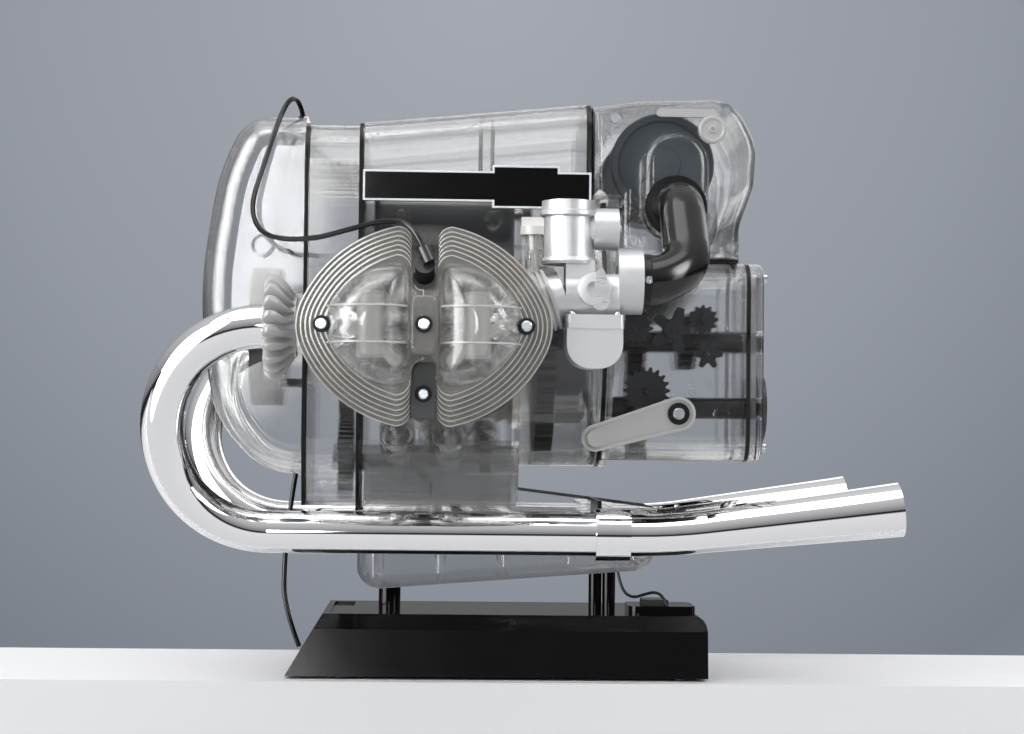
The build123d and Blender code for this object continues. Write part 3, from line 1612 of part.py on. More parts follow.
with BuildPart() as left_rocker_cover:
    for ring in range(cover_ring_count):
        ring_plane = outward(cover_base + ring * cover_ring_rise)
        extrude(head_section(ring_plane, ring * cover_ring_step), amount=cover_ring_rise)
    extrude(lobe_section(lobe_base, 0), amount=lobe_height, taper=lobe_taper)
    with BuildSketch(outward(lobe_base)):
        Rectangle(2 * (channel_half_width + overrun), 2 * bridge_half_height)
    extrude(amount=bridge_height)
    for ring in range(cover_ring_count):
        with BuildSketch(outward(cover_base)):
            add(
                outward(cover_base).to_local_coords(
                    head_section(outward(cover_base), (ring + 1) * cover_ring_step + case_wall / 2)
                )
            )
            for end in (-1, 1):
                with Locations((0, end * (plug_keep_out_low + head_half_height / 2))):
                    Rectangle(plug_keep_out_width, head_half_height, mode=Mode.SUBTRACT)
        extrude(amount=(ring + 1) * cover_ring_rise - case_wall, mode=Mode.SUBTRACT)
    hollow_start = lobe_base - case_wall - overrun
    extrude(
        lobe_section(hollow_start, lobe_wall),
        amount=lobe_height + overrun,
        taper=lobe_taper,
        mode=Mode.SUBTRACT,
    )
    with BuildSketch(outward(cover_base - overrun)):
        with Locations((0, notch_low + head_half_height / 2)):
            Rectangle(2 * notch_half_width, head_half_height)
    extrude(amount=lobe_base - cover_base + lobe_height, mode=Mode.SUBTRACT)
    with BuildSketch(outward(cover_base + cover_floor)):
        with Locations((0, -notch_low - head_half_height / 2)):
            Rectangle(2 * notch_half_width, head_half_height)
    extrude(amount=lobe_base - cover_base + lobe_height, mode=Mode.SUBTRACT)
finish(left_rocker_cover, "left_rocker_cover")
right_rocker_cover = right_twin(left_rocker_cover, cylinder_offset)
finish(right_rocker_cover, "right_rocker_cover")

# Exhaust pipes: a tall bend in front of each cylinder, a straight run and a flared end

pipe_radius = 11.0
pipe_wall = 1.2
pipe_start_gap = 2.0
bend_start_x = -134.0
bend_reach = 52.6
low_run_y = -79.0
low_run_drop = 104.2
low_run_height = crank_height - low_run_drop
low_run_end_x = 58.0
tail_bend_radius = 300.0
tail_rise = 7.0
tail_radius = 14.3
tail_half_turn = math.radians(tail_rise)
model_half_length = bend_reach - bend_start_x + pipe_radius
pipe_start_x = left_cylinder_x - exhaust_boss_reach - pipe_start_gap
bend_drop = math.hypot(low_run_y + port_distance, crank_height - low_run_height)
bend_turn = math.radians(60)
outer_bend_radius = (bend_reach - (1 - math.sin(bend_turn)) * bend_drop) / (2 * math.sin(bend_turn) - 1)
middle_bend_radius = bend_drop - outer_bend_radius


def bend_arc(start, heading, turn, radius):
    """Middle and end of an arc that starts at a place with a heading."""
    points = []
    for part in (turn / 2, turn):
        points.append(
            (
                start[0] + radius * (math.sin(heading + part) - math.sin(heading)),
                start[1] + radius * (math.cos(heading) - math.cos(heading + part)),
            )
        )
    return points


def exhaust_pipe(lead_in):
    """The left exhaust pipe, for a cylinder that is this far behind the bend."""
    bend_down = (0, (low_run_y + port_distance) / bend_drop, (low_run_height - crank_height) / bend_drop)
    start = Plane(
        origin=(bend_start_x + lead_in, -port_distance, crank_height),
        x_dir=(-1, 0, 0),
        z_dir=(0, bend_down[2], -bend_down[1]),
    )
    place = (lead_in, 0)
    heading = 0
    with BuildPart() as pipe:
        with BuildLine(start) as route:
            Line((0, 0), place)
            for radius in (outer_bend_radius, middle_bend_radius, outer_bend_radius):
                middle, end = bend_arc(place, heading, bend_turn, radius)
                ThreePointArc(place, middle, end)
                place = end
                heading = heading + bend_turn
            Line(place, (lead_in + bend_start_x - low_run_end_x, bend_drop))
        mouth = Plane(origin=start.origin, x_dir=(0, 1, 0), z_dir=(-1, 0, 0))
        sweep(sections=ring_section(mouth, pipe_radius, pipe_radius - pipe_wall), path=route.line)
        rise_plane = Plane(origin=(low_run_end_x, low_run_y, low_run_height), x_dir=(1, 0, 0), z_dir=(0, -1, 0))
        middle, end = bend_arc((0, 0), 0, tail_half_turn, tail_bend_radius)
        with BuildLine(rise_plane) as rise:
            ThreePointArc((0, 0), middle, end)
        joint_face = across(low_run_end_x, low_run_y, low_run_height)
        sweep(sections=ring_section(joint_face, pipe_radius, pipe_radius - pipe_wall), path=rise.line)
        tail_face = Plane(
            origin=rise.line @ 1, x_dir=(0, 1, 0), z_dir=(math.cos(tail_half_turn), 0, math.sin(tail_half_turn))
        )
        tail_reach = model_half_length - tail_radius * math.sin(tail_half_turn) - tail_face.origin.X
        tail_length = tail_reach / math.cos(tail_half_turn)
        loft(
            sections=[
                disc_section(tail_face, pipe_radius),
                disc_section(tail_face.offset(tail_length), tail_radius),
            ]
        )
        loft(
            sections=[
                disc_section(tail_face, pipe_radius - pipe_wall),
                disc_section(tail_face.offset(tail_length), tail_radius - pipe_wall),
            ],
            mode=Mode.SUBTRACT,
        )
    return pipe


left_pipe = exhaust_pipe(pipe_start_x - bend_start_x)
right_pipe = right_twin(exhaust_pipe(pipe_start_x + cylinder_offset - bend_start_x), 0)

nut_length = 16.3
nut_hub_radius = 15.0
nut_fin_radius = 27.0
nut_fin_count = 20
nut_fin_thickness = 2.0

with BuildPart() as left_nut:
    nut_face = Plane(
        origin=(left_cylinder_x - exhaust_boss_reach - seat_gap, -port_distance, crank_height),
        x_dir=(0, 1, 0),
        z_dir=(-1, 0, 0),
    )
    with BuildSketch(nut_face):
        Circle(nut_hub_radius)
        with PolarLocations((nut_hub_radius + nut_fin_radius) / 2, nut_fin_count):
            Rectangle(nut_fin_radius - nut_hub_radius + overrun, nut_fin_thickness)
        Circle(pipe_radius + seat_gap, mode=Mode.SUBTRACT)
    extrude(amount=nut_length)
right_nut = right_twin(left_nut, cylinder_offset)
with BuildPart() as exhaust_nuts:
    add(left_nut.part)
    add(right_nut.part)
finish(exhaust_nuts, "exhaust_nuts")

clip_x = 36.0
clip_length = 18.0
clip_radius = 13.5
strap_thickness = 2.5
strap_width = 10.0

with BuildPart() as left_clip:
    clip_face = across(clip_x, low_run_y, low_run_height)
    extrude(disc_section(clip_face, clip_radius), amount=clip_length)
    strap_reach = -low_run_y - case_foot_half_width
    with Locations((clip_x + clip_length / 2, low_run_y, case_bottom - sump_lid)):
        Box(
            strap_width,
            strap_reach + flange_overhang / 2,
            strap_thickness,
            align=(Align.CENTER, Align.MIN, Align.MAX),
        )
    extrude(disc_section(clip_face, pipe_radius + seat_gap), amount=clip_length, mode=Mode.SUBTRACT)
with BuildPart() as exhaust_pipes:
    add(left_pipe.part)
    add(right_pipe.part)
    add(left_clip.part)
    add(right_twin(left_clip, 0).part)
finish(exhaust_pipes, "exhaust_pipes")

# Carburettors, their ribbed stubs and the intake hoses

carb_x = 17.9
slide_foot_rise = 15.8
slide_length = 24.2
cap_height = 6.7
bowl_depth = 26.8
bowl_flange_height = 6.9
bowl_top_drop = 10.5
carb_rise = 18.0
carb_height = crank_height + carb_rise
carb_body_start_x = 16.0
slide_foot = carb_height + slide_foot_rise
slide_neck_width = 20.0
carb_body_radius = 12.5
carb_body_end_x = 43.0
carb_throat_radius = 8.0
slide_radius = 12.6
slide_top = slide_foot + slide_length
cap_radius = 13.8
cap_top = slide_top + cap_height
bowl_x = 30.5
bowl_length = 28.0
bowl_width = 28.0
bowl_top = carb_height - bowl_top_drop
bowl_low = bowl_top - bowl_depth
bowl_flange_low = bowl_top - bowl_flange_height
bowl_rounding = 12.0
mouth_x = 42.2
mouth_length = 12.4
mouth_rise = 7.0
mouth_height = carb_height + mouth_rise
mouth_radius = 16.6
side_cover_x = 30.0
side_cover_length = 12.6
side_cover_rise = 33.0
side_cover_height = carb_height + side_cover_rise
side_cover_radius = 10.5
hose_radius = 12.0
hose_wall = 2.0
hose_insert = 8.0
stub_rib_width = 1.5
stub_rib_count = 4
stub_rib_pitch = 2.7
throttle_x = 33.0
throttle_drop = 4.0
throttle_height = carb_height - throttle_drop
throttle_hub_radius = 4.5
throttle_thickness = 3.0
throttle_arm = 14.0
throttle_shaft_radius = 2.0
throttle_shaft_depth = 5.0
carb_side_y = -port_distance - carb_body_radius

with BuildPart() as left_carb:
    body_face = across(carb_body_start_x, -port_distance, carb_height)
    extrude(disc_section(body_face, carb_body_radius), amount=carb_body_end_x - carb_body_start_x)
    spigot_face = inlet_plane(inlet_boss_reach + running_gap)
    extrude(disc_section(spigot_face, port_boss_radius - seat_gap), amount=stub_length)
    with BuildSketch(Plane.XY.offset(slide_foot)):
        with Locations((carb_x, -port_distance)):
            Circle(slide_radius)
    extrude(amount=slide_top - slide_foot)
    with Locations((carb_body_start_x, -port_distance, carb_height)):
        Box(
            carb_x + slide_radius - carb_body_start_x,
            slide_neck_width,
            slide_foot + overrun - carb_height,
            align=(Align.MIN, Align.CENTER, Align.MIN),
        )
    with BuildSketch(Plane.XY.offset(slide_top)):
        with Locations((carb_x, -port_distance)):
            Circle(cap_radius)
    extrude(amount=cap_top - slide_top)
    side_cover_face = across(side_cover_x - side_cover_length, -port_distance, side_cover_height)
    extrude(disc_section(side_cover_face, side_cover_radius - case_wall), amount=side_cover_length * 2 - overrun)
    side_cover_face = across(side_cover_x, -port_distance, side_cover_height)
    extrude(disc_section(side_cover_face, side_cover_radius), amount=side_cover_length)
    with BuildSketch(sideways(bowl_x, -port_distance, (bowl_low + bowl_top) / 2)):
        Rectangle(bowl_length, bowl_top - bowl_low)
    extrude(amount=bowl_width / 2, both=True)
    fillet(left_carb.edges().filter_by(Axis.Y).group_by(Axis.Z)[0], bowl_rounding)
    with BuildSketch(Plane.XY.offset(bowl_flange_low)):
        with Locations((bowl_x, -port_distance)):
            RectangleRounded(bowl_length + overrun, bowl_width + 2 * overrun, case_wall)
    extrude(amount=bowl_top - bowl_flange_low)
    mouth_face = across(mouth_x, -port_distance, mouth_height)
    extrude(disc_section(mouth_face, mouth_radius), amount=mouth_length)
    hose_seat = mouth_face.offset(mouth_length - hose_insert)
    extrude(disc_section(hose_seat, hose_radius + seat_gap), amount=hose_insert + overrun, mode=Mode.SUBTRACT)
    throat_length = mouth_x + mouth_length - carb_body_start_x
    extrude(
        disc_section(mouth_face.offset(mouth_length), carb_throat_radius),
        amount=-throat_length,
        mode=Mode.SUBTRACT,
    )
    extrude(
        disc_section(spigot_face, carb_throat_radius), amount=stub_length + overrun, mode=Mode.SUBTRACT
    )
    shaft_hole = disc_section(
        sideways(throttle_x, carb_side_y - overrun, throttle_height), throttle_shaft_radius + shaft_clearance
    )
    extrude(shaft_hole, amount=-throttle_shaft_depth - 2 * overrun, mode=Mode.SUBTRACT)
right_carb = right_twin(left_carb, cylinder_offset)
with BuildPart() as carburettors:
    add(left_carb.part)
    add(right_carb.part)
finish(carburettors, "carburettors")


def intake_rubbers(hose_end_x, lead):
    """The ribbed stub at the head and the hose to the air filter housing."""
    hose_start = (mouth_x + mouth_length - hose_insert + seat_gap + lead, -port_distance, mouth_height)
    corner = (hose_end_x, -port_distance, mouth_height)
    first_bend = hose_end_x - mouth_x - mouth_length - lead - running_gap
    turn_up = (hose_end_x, dome_face_y - hose_straight, intake_height)
    hose_end = (hose_end_x, dome_face_y - seat_gap, intake_height)
    with BuildPart() as rubbers:
        with BuildLine() as route:
            FilletPolyline(hose_start, corner, turn_up, hose_end, radius=[first_bend, hose_second_bend])
        mouth = Plane(origin=route.line @ 0, z_dir=route.line % 0)
        sweep(sections=ring_section(mouth, hose_radius, hose_radius - hose_wall), path=route.line)
    return rubbers


hose_straight = 24.0
hose_second_bend = 34.0
dome_face_y = -airbox_half_width + case_wall - intake_dome_depth

with BuildPart() as left_stub:
    stub_face = inlet_plane(stub_reach)
    extrude(disc_section(stub_face, stub_radius), amount=stub_length)
    for rib in range(stub_rib_count):
        rib_face = inlet_plane(stub_reach + overrun + rib * stub_rib_pitch)
        extrude(disc_section(rib_face, stub_rib_radius), amount=stub_rib_width)
    extrude(
        disc_section(stub_face, port_boss_radius + seat_gap / 2), amount=2 * stub_length, both=True, mode=Mode.SUBTRACT
    )
right_stub = right_twin(left_stub, cylinder_offset)

with BuildPart() as intake_hoses:
    add(left_stub.part)
    add(right_stub.part)
    add(intake_rubbers(intake_x, 0).part)
    add(right_twin(intake_rubbers(intake_x + right_intake_shift, cylinder_offset), 0).part)
finish(intake_hoses, "intake_hoses")


def throttle_lever():
    """The left throttle lever, at rest with its arm up."""
    lever_face = sideways(throttle_x, carb_side_y - running_gap, throttle_height)
    with BuildPart() as lever:
        with BuildSketch(lever_face):
            Circle(throttle_hub_radius)
            with Locations((0, throttle_arm)):
                Circle(throttle_hub_radius / 2)
            make_hull()
        extrude(amount=throttle_thickness)
        extrude(disc_section(lever_face, throttle_shaft_radius), amount=-throttle_shaft_depth)
    return lever


left_throttle_lever = throttle_lever()
finish(left_throttle_lever, "left_throttle_lever")
right_throttle_lever = right_twin(left_throttle_lever, cylinder_offset)
finish(right_throttle_lever, "right_throttle_lever")

# Gearshift lever

lever_gap = 20.0
lever_hub_radius = 9.0
lever_thickness = 5.0
lever_tip_x = -44.0
lever_tip_drop = -13.4
lever_tip_radius = 7.0
lever_peg_radius = 4.5
lever_peg_length = 8.0
star_radius = 7.0
star_points = 6
star_point_radius = 2.2
star_thickness = 2.0

with BuildPart() as gear_lever:
    shaft_start = sideways(shift_x, -gearbox_half_width + lever_thickness, shift_height)
    extrude(
        disc_section(shaft_start, shift_shaft_radius), amount=lever_gap + lever_thickness
    )
    with BuildSketch(shaft_start):
        Circle(star_radius)
        with PolarLocations(star_radius, star_points):
            Circle(star_point_radius)
    extrude(amount=star_thickness)
    lever_face = sideways(shift_x, -gearbox_half_width - lever_gap, shift_height)
    with BuildSketch(lever_face):
        Circle(lever_hub_radius)
        with Locations((lever_tip_x, lever_tip_drop)):
            Circle(lever_tip_radius)
        make_hull()
    extrude(amount=lever_thickness)
    with BuildSketch(lever_face):
        with Locations((lever_tip_x, lever_tip_drop)):
            Circle(lever_peg_radius)
    extrude(amount=lever_thickness + lever_peg_length)
finish(gear_lever, "gear_lever")

# Choke lever on the air filter housing

choke_disc_radius = 7.7
choke_disc_thickness = 3.0
choke_bar_rise = 8.7
choke_bar_length = 28.0
choke_bar_radius = 2.2

with BuildPart() as choke_lever:
    choke_face = sideways(choke_x, -airbox_half_width - running_gap, choke_height)
    extrude(disc_section(choke_face, choke_disc_radius), amount=choke_disc_thickness)
    with BuildSketch(choke_face):
        with Locations((0, choke_bar_rise), (-choke_bar_length, choke_bar_rise)):
            Circle(choke_bar_radius)
        make_hull()
    extrude(amount=choke_disc_thickness)
    with BuildSketch(choke_face):
        with Locations((0, 0), (0, choke_bar_rise)):
            Circle(choke_bar_radius)
        make_hull()
    extrude(amount=choke_disc_thickness)
    extrude(disc_section(choke_face, choke_pin_radius), amount=-case_wall - running_gap)
finish(choke_lever, "choke_lever")

# Dipstick

dip_cap_radius = 8.0
dip_cap_thickness = 4.5
dip_grip_length = 15.0
dip_grip_width = 4.0
dip_grip_height = 5.0
dip_rod_radius = 1.5
dip_rod_length = 38.0
dip_plug_length = 8.0

with BuildPart() as dipstick:
    with BuildSketch(Plane.XY.offset(dip_tube_top + seat_gap)):
        with Locations((dip_x, dip_y)):
            Circle(dip_cap_radius)
    extrude(amount=dip_cap_thickness)
    with BuildSketch(Plane.XY.offset(dip_tube_top + seat_gap + dip_cap_thickness)):
        with Locations((dip_x, dip_y)):
            Rectangle(dip_grip_length, dip_grip_width)
    extrude(amount=dip_grip_height)
    with BuildSketch(Plane.XY.offset(dip_tube_top + seat_gap)):
        with Locations((dip_x, dip_y)):
            Circle(dip_tube_radius - case_wall - shaft_clearance)
    extrude(amount=-dip_plug_length)
    with BuildSketch(Plane.XY.offset(dip_tube_top + seat_gap)):
        with Locations((dip_x, dip_y)):
            Circle(dip_rod_radius)
    extrude(amount=-dip_rod_length)
finish(dipstick, "dipstick")

# Spark plugs with their caps

plug_length = 42.0
cap_start = 152.0
cap_length = 12.0
cap_stub_radius = 3.2
lead_end_rise = 38.0
lead_end = (-55.0, -163.0, crank_height + lead_end_rise)
lead_end_direction = (5.0, -1.5, -11.0)
cap_stub_length = 8.0

with BuildPart() as left_plug:
    extrude(disc_section(plug_plane(head_base + overrun), plug_radius), amount=plug_length)
with BuildPart() as left_plug_cap:
    extrude(disc_section(plug_plane(cap_start), plug_cap_radius), amount=cap_length)
    stub_plane = Plane(origin=lead_end, z_dir=lead_end_direction)
    extrude(disc_section(stub_plane, cap_stub_radius), amount=cap_stub_length)
    extrude(disc_section(plug_plane(head_base), plug_radius + seat_gap), amount=slant(cap_start - head_base), mode=Mode.SUBTRACT)
with BuildPart() as spark_plugs:
    add(left_plug.part)
    add(right_twin(left_plug, cylinder_offset).part)
    add(left_plug_cap.part)
    add(right_twin(left_plug_cap, cylinder_offset).part)
finish(spark_plugs, "spark_plugs")

# Leads

lead_radius = 1.35
thin_lead_radius = 0.8
lead_bend_share = 0.45


def lead(points, radius, name):
    """A round lead of straight runs joined by arcs."""
    bends = []
    for before, here, after in zip(points, points[1:], points[2:]):
        run_in = Vector(*here) - Vector(*before)
        run_out = Vector(*after) - Vector(*here)
        half_turn = math.radians(run_in.get_angle(run_out)) / 2
        bends.append(lead_bend_share * min(run_in.length, run_out.length) / math.tan(half_turn))
    print(name, "bend radii", [round(bend, 1) for bend in bends])
    with BuildPart() as cord:
        with BuildLine() as route:
            FilletPolyline(*points, radius=bends)
        start = Plane(origin=route.line @ 0, z_dir=route.line % 0)
        sweep(sections=disc_section(start, radius), path=route.line)
    return cord


left_lead_points = [
    (-122.0, -20.0, nose_top + overrun),
    (-123.5, -27.0, 309.5),
    (-128.0, -40.0, 310.0),
    (-133.0, -52.0, 297.0),
    (-141.0, -57.0, 270.0),
    (-147.0, -67.0, 246.0),
    (-138.0, -87.0, 230.0),
    (-113.0, -108.0, 227.0),
    (-89.0, -129.0, 232.0),
    (-73.0, -147.0, 234.5),
    (-60.0, -161.5, 231.0),
    lead_end,
]
right_lead_shares = (0, 0, 0, 0, 0.1, 0.2, 0.4, 0.6, 0.8, 1, 1, 1)
right_lead_points = [
    (x + share * cylinder_offset, -y, z)
    for (x, y, z), share in zip(left_lead_points, right_lead_shares)
]
stand_lead_points = [
    (-124.0, -12.0, 106.8),
    (-127.5, -12.5, 84.0),
    (-129.5, -13.5, 58.0),
    (-129.5, -14.5, 34.0),
    (-120.8, -15.0, 12.3),
]
sump_lead_points = [
    (52.0, -30.0, 55.9),
    (54.0, -30.5, 46.0),
    (60.0, -31.2, 41.5),
    (66.5, -32.0, 43.6),
    (72.5, -32.9, 45.2),
    (77.0, -33.3, 42.4),
    (78.2, -33.5, 37.6),
]
with BuildPart() as ignition_leads:
    add(lead(left_lead_points, lead_radius, "left ignition lead").part)
    add(lead(right_lead_points, lead_radius, "right ignition lead").part)
finish(ignition_leads, "ignition_leads")
with BuildPart() as stand_leads:
    add(lead(stand_lead_points, lead_radius, "lead to the stand").part)
    add(lead(sump_lead_points, thin_lead_radius, "lead from the sump").part)
finish(stand_leads, "stand_leads")

# Badge plates, left bare, and screws

badge_front_x = -88.0
badge_length = 122.0
badge_low = 253.5
badge_height = 16.5
badge_thickness = 3.0
badge_middle_x = -1.0
badge_middle_length = 36.0
badge_middle_height = 23.0

with BuildPart() as left_badge:
    badge_plane = sideways(
        badge_front_x + badge_length / 2, -case_half_width - seat_gap, badge_low + badge_height / 2
    )
    with BuildSketch(badge_plane):
        Rectangle(badge_length, badge_height)
        with Locations((badge_middle_x - badge_front_x - badge_length / 2, 0)):
            Rectangle(badge_middle_length, badge_middle_height)
    extrude(amount=badge_thickness)
finish(left_badge, "badge_plate")

gearbox_screw_inset = 8.0


def screw(plane):
    """A round screw head with a six-sided socket, resting on a plane."""
    with BuildPart() as head:
        extrude(disc_section(plane, screw_radius), amount=screw_height)
        with BuildSketch(plane.offset(screw_height)):
            RegularPolygon(socket_radius, 6)
        extrude(amount=-socket_depth, mode=Mode.SUBTRACT)
    return head


cover_screw_places = (
    (-cover_screw_reach, 0, lobe_base),
    (cover_screw_reach, 0, lobe_base),
    (0, 0, lobe_base + bridge_height),
    (0, -notch_low - bridge_half_height, cover_base + cover_floor),
)
with BuildPart() as casing_screws:
    for place_x, place_z, seat in cover_screw_places:
        spot = Plane(
            origin=outward(seat + seat_gap / 2).from_local_coords((place_x, place_z, 0)),
            x_dir=(1, 0, 0),
            z_dir=(0, -1, 0),
        )
        one_screw = screw(spot)
        add(one_screw.part)
        add(right_twin(one_screw, cylinder_offset).part)
    for screw_x, screw_z in airbox_screw_places:
        recess_floor = airbox_half_width - screw_height + seat_gap / 2
        one_screw = screw(sideways(screw_x, -recess_floor, screw_z))
        add(one_screw.part)
        add(right_twin(one_screw, 0).part)
    for side in (-1, 1):
        for screw_z in (gearbox_bottom + gearbox_screw_inset, gearbox_top - gearbox_screw_inset):
            rear_face = gearbox_rear_x + gearbox_cover_length + seat_gap / 2
            spot = across(rear_face, side * (gearbox_half_width - gearbox_screw_inset), screw_z)
            add(screw(spot).part)
finish(casing_screws, "casing_screws")
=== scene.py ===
import bmesh
import bpy
import json
from math import acos, atan2, copysign, cos, exp, hypot, pi, radians, sin, tau
from mathutils import Matrix, Vector


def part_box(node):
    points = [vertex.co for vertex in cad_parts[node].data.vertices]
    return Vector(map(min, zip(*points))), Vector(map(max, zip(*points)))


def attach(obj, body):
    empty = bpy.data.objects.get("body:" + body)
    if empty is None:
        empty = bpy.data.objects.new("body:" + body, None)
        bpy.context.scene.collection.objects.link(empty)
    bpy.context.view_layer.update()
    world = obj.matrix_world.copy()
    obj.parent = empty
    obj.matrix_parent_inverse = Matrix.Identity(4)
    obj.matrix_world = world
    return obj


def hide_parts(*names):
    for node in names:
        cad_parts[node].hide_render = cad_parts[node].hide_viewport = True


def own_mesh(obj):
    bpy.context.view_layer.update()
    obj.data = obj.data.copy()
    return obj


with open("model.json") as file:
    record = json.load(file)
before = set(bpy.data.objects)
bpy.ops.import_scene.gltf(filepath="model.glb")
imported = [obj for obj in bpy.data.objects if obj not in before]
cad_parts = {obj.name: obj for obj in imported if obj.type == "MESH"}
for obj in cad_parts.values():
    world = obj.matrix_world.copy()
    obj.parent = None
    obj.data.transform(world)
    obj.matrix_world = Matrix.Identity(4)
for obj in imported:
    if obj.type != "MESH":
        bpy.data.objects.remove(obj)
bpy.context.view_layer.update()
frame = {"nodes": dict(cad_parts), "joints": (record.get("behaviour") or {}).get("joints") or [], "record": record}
scene = bpy.context.scene
scene.view_settings.view_transform = "Standard"
scene.cycles.transparent_max_bounces = 48  # many clear walls stand behind each other

# Camera at the photograph's place, turned a little to the right and up, with a small roll
lens_pixels, picture_width, sensor_width = 2247.0, 1024, 36.0
camera_place = (-0.049, -1.25, 0.132)
right_degrees, up_degrees, roll_degrees = 1.99, 1.6, 0.65
camera_data = bpy.data.cameras.new("camera")
camera_data.sensor_width = sensor_width
camera_data.lens = lens_pixels / picture_width * sensor_width
camera_data.clip_end = 50.0
camera = bpy.data.objects.new("camera", camera_data)
scene.collection.objects.link(camera)
camera.matrix_world = (
    Matrix.Translation(camera_place)
    @ Matrix.Rotation(radians(-right_degrees), 4, "Z")
    @ Matrix.Rotation(radians(90 + up_degrees), 4, "X")
    @ Matrix.Rotation(radians(roll_degrees), 4, "Z")
)
scene.camera = camera


# Materials, kept by their names; the frame's own may have the same names in Blender

looks = {}
even = (1.0, 1.0, 1.0)


def new_look(name):
    """A material's node tree and its shader."""
    looks[name] = bpy.data.materials.new(name)
    looks[name].use_nodes = True
    tree = looks[name].node_tree
    return tree, tree.nodes["Principled BSDF"]


def feed(node, socket, value):
    """A number, a colour or another node's output for a node's own socket."""
    if isinstance(value, bpy.types.NodeSocket):
        node.id_data.links.new(value, node.inputs[socket])
    else:
        level = (*value, 1.0) if isinstance(value, tuple) else value
        node.inputs[socket].default_value = level


def added(tree, kind):
    return tree.nodes.new("ShaderNode" + kind)


def noise(tree, scale, detail=3.0, stretch=even):
    """Noise over the object's own coordinates, each stretched by its own factor."""
    mapping = added(tree, "Mapping")
    mapping.inputs["Scale"].default_value = stretch
    feed(mapping, "Vector", added(tree, "TexCoord").outputs["Object"])
    texture = added(tree, "TexNoise")
    feed(texture, "Scale", scale)
    feed(texture, "Detail", detail)
    feed(texture, "Vector", mapping.outputs["Vector"])
    return texture.outputs["Fac"]


def spread(tree, value, low, high, from_low=0.0, from_high=1.0):
    """A value spread from one range over another."""
    spreader = added(tree, "MapRange")
    feed(spreader, "From Min", from_low)
    feed(spreader, "From Max", from_high)
    feed(spreader, "To Min", low)
    feed(spreader, "To Max", high)
    feed(spreader, "Value", value)
    return spreader.outputs["Result"]


def mixed_colour(tree, share, first, second, blend_type="MIX"):
    """Two colours mixed; each is three numbers or another node's output."""
    mix = added(tree, "Mix")
    mix.data_type = "RGBA"
    mix.blend_type = blend_type
    for socket, value in (("Factor", share), ("A", first), ("B", second)):
        feed(mix, socket, value)
    return mix.outputs["Result"]


def uneven_tone(tree, first, second, scale, stretch=even):
    return mixed_colour(tree, noise(tree, scale, stretch=stretch), first, second)


def uneven_sheen(tree, shader, low, high, scale, stretch=even):
    feed(shader, "Roughness", spread(tree, noise(tree, scale, stretch=stretch), low, high))


def bumped(tree, shader, value, strength, distance):
    bump = added(tree, "Bump")
    feed(bump, "Strength", strength)
    feed(bump, "Distance", distance)
    feed(bump, "Height", value)
    feed(shader, "Normal", bump.outputs["Normal"])


# Scales of the noise in tone, sheen and surface, and depths of the surface's bumps
plastic_tone, plastic_sheen, plastic_depth = 24.0, 60.0, 0.0003
clear_tone, clear_sheen, clear_waves, clear_depth = 18.0, 40.0, 22.0, 0.0005
metal_tone, metal_sheen, metal_grain, metal_depth = 30.0, 80.0, 500.0, 0.0002
clear_index, clear_bump, sheen_share = 1.5, 0.2, 0.4
# Facing blend for clearness and for the painted rim shade, how fast that shade sets in, and its darker tint
rim_blend, rim_shade_power, rim_shade_tint = 0.4, 3.0, (0.42, 0.4, 0.35)


def plastic(name, first, second, low, high, grain=900.0, bump=0.05, gloss=0.5):
    """Moulded plastic with a faint unevenness of colour, roughness (low to high) and surface."""
    tree, shader = new_look(name)
    feed(shader, "Base Color", uneven_tone(tree, first, second, plastic_tone))
    uneven_sheen(tree, shader, low, high, plastic_sheen)
    feed(shader, "Specular IOR Level", gloss)
    bumped(tree, shader, noise(tree, grain, 2.0), bump, plastic_depth)


def see_through(name, first, second, alpha, rough=0.03, transmission=1.0):
    """Clear or smoked plastic that bends light and is less clear where it turns away, with painted shade that
    darkens its colour there.
    """
    tree, shader = new_look(name)
    feed(shader, "IOR", clear_index)
    feed(shader, "Transmission Weight", transmission)
    weight = added(tree, "LayerWeight")
    feed(weight, "Blend", rim_blend)
    facing = weight.outputs["Facing"]
    rim_shade_share = added(tree, "Math")
    rim_shade_share.operation = "POWER"
    feed(rim_shade_share, 1, rim_shade_power)
    feed(rim_shade_share, 0, facing)
    # Painted shade: the colour turns darker and more amber where the surface turns away
    painted_rim_shade = tuple(tint * value for tint, value in zip(rim_shade_tint, second))
    body_tone = uneven_tone(tree, first, second, clear_tone)
    tone = mixed_colour(tree, rim_shade_share.outputs["Value"], body_tone, painted_rim_shade)
    feed(shader, "Base Color", tone)
    low, high = rough * (1 - sheen_share), rough * (1 + sheen_share)
    uneven_sheen(tree, shader, low, high, clear_sheen)
    feed(shader, "Alpha", spread(tree, facing, alpha, 1.0))
    bumped(tree, shader, noise(tree, clear_waves, 1.0), clear_bump, clear_depth)


def metal(name, first, second, low, high, stretch=even, bump=0.03, metallic=1.0):
    """Metal or metallic paint."""
    tree, shader = new_look(name)
    feed(shader, "Base Color", uneven_tone(tree, first, second, metal_tone, stretch))
    uneven_sheen(tree, shader, low, high, metal_sheen, stretch)
    feed(shader, "Metallic", metallic)
    bumped(tree, shader, noise(tree, metal_grain, 2.0, stretch), bump, metal_depth)


def hose_and_stub(name):
    """Black hoses whose stubs, in front of one place along the engine, are silver."""
    stub_end, half_blend = 0.04, 0.0005
    tree, shader = new_look(name)
    axes = added(tree, "SeparateXYZ")
    feed(axes, "Vector", added(tree, "TexCoord").outputs["Object"])
    low, high = stub_end - half_blend, stub_end + half_blend
    rearward = spread(tree, axes.outputs["X"], 0.0, 1.0, low, high)
    tone = mixed_colour(tree, rearward, (0.5, 0.5, 0.49), (0.004, 0.004, 0.0045))
    feed(shader, "Base Color", tone)
    uneven_sheen(tree, shader, 0.12, 0.2, plastic_sheen)
    bumped(tree, shader, noise(tree, metal_grain, 2.0), 0.05, metal_depth)


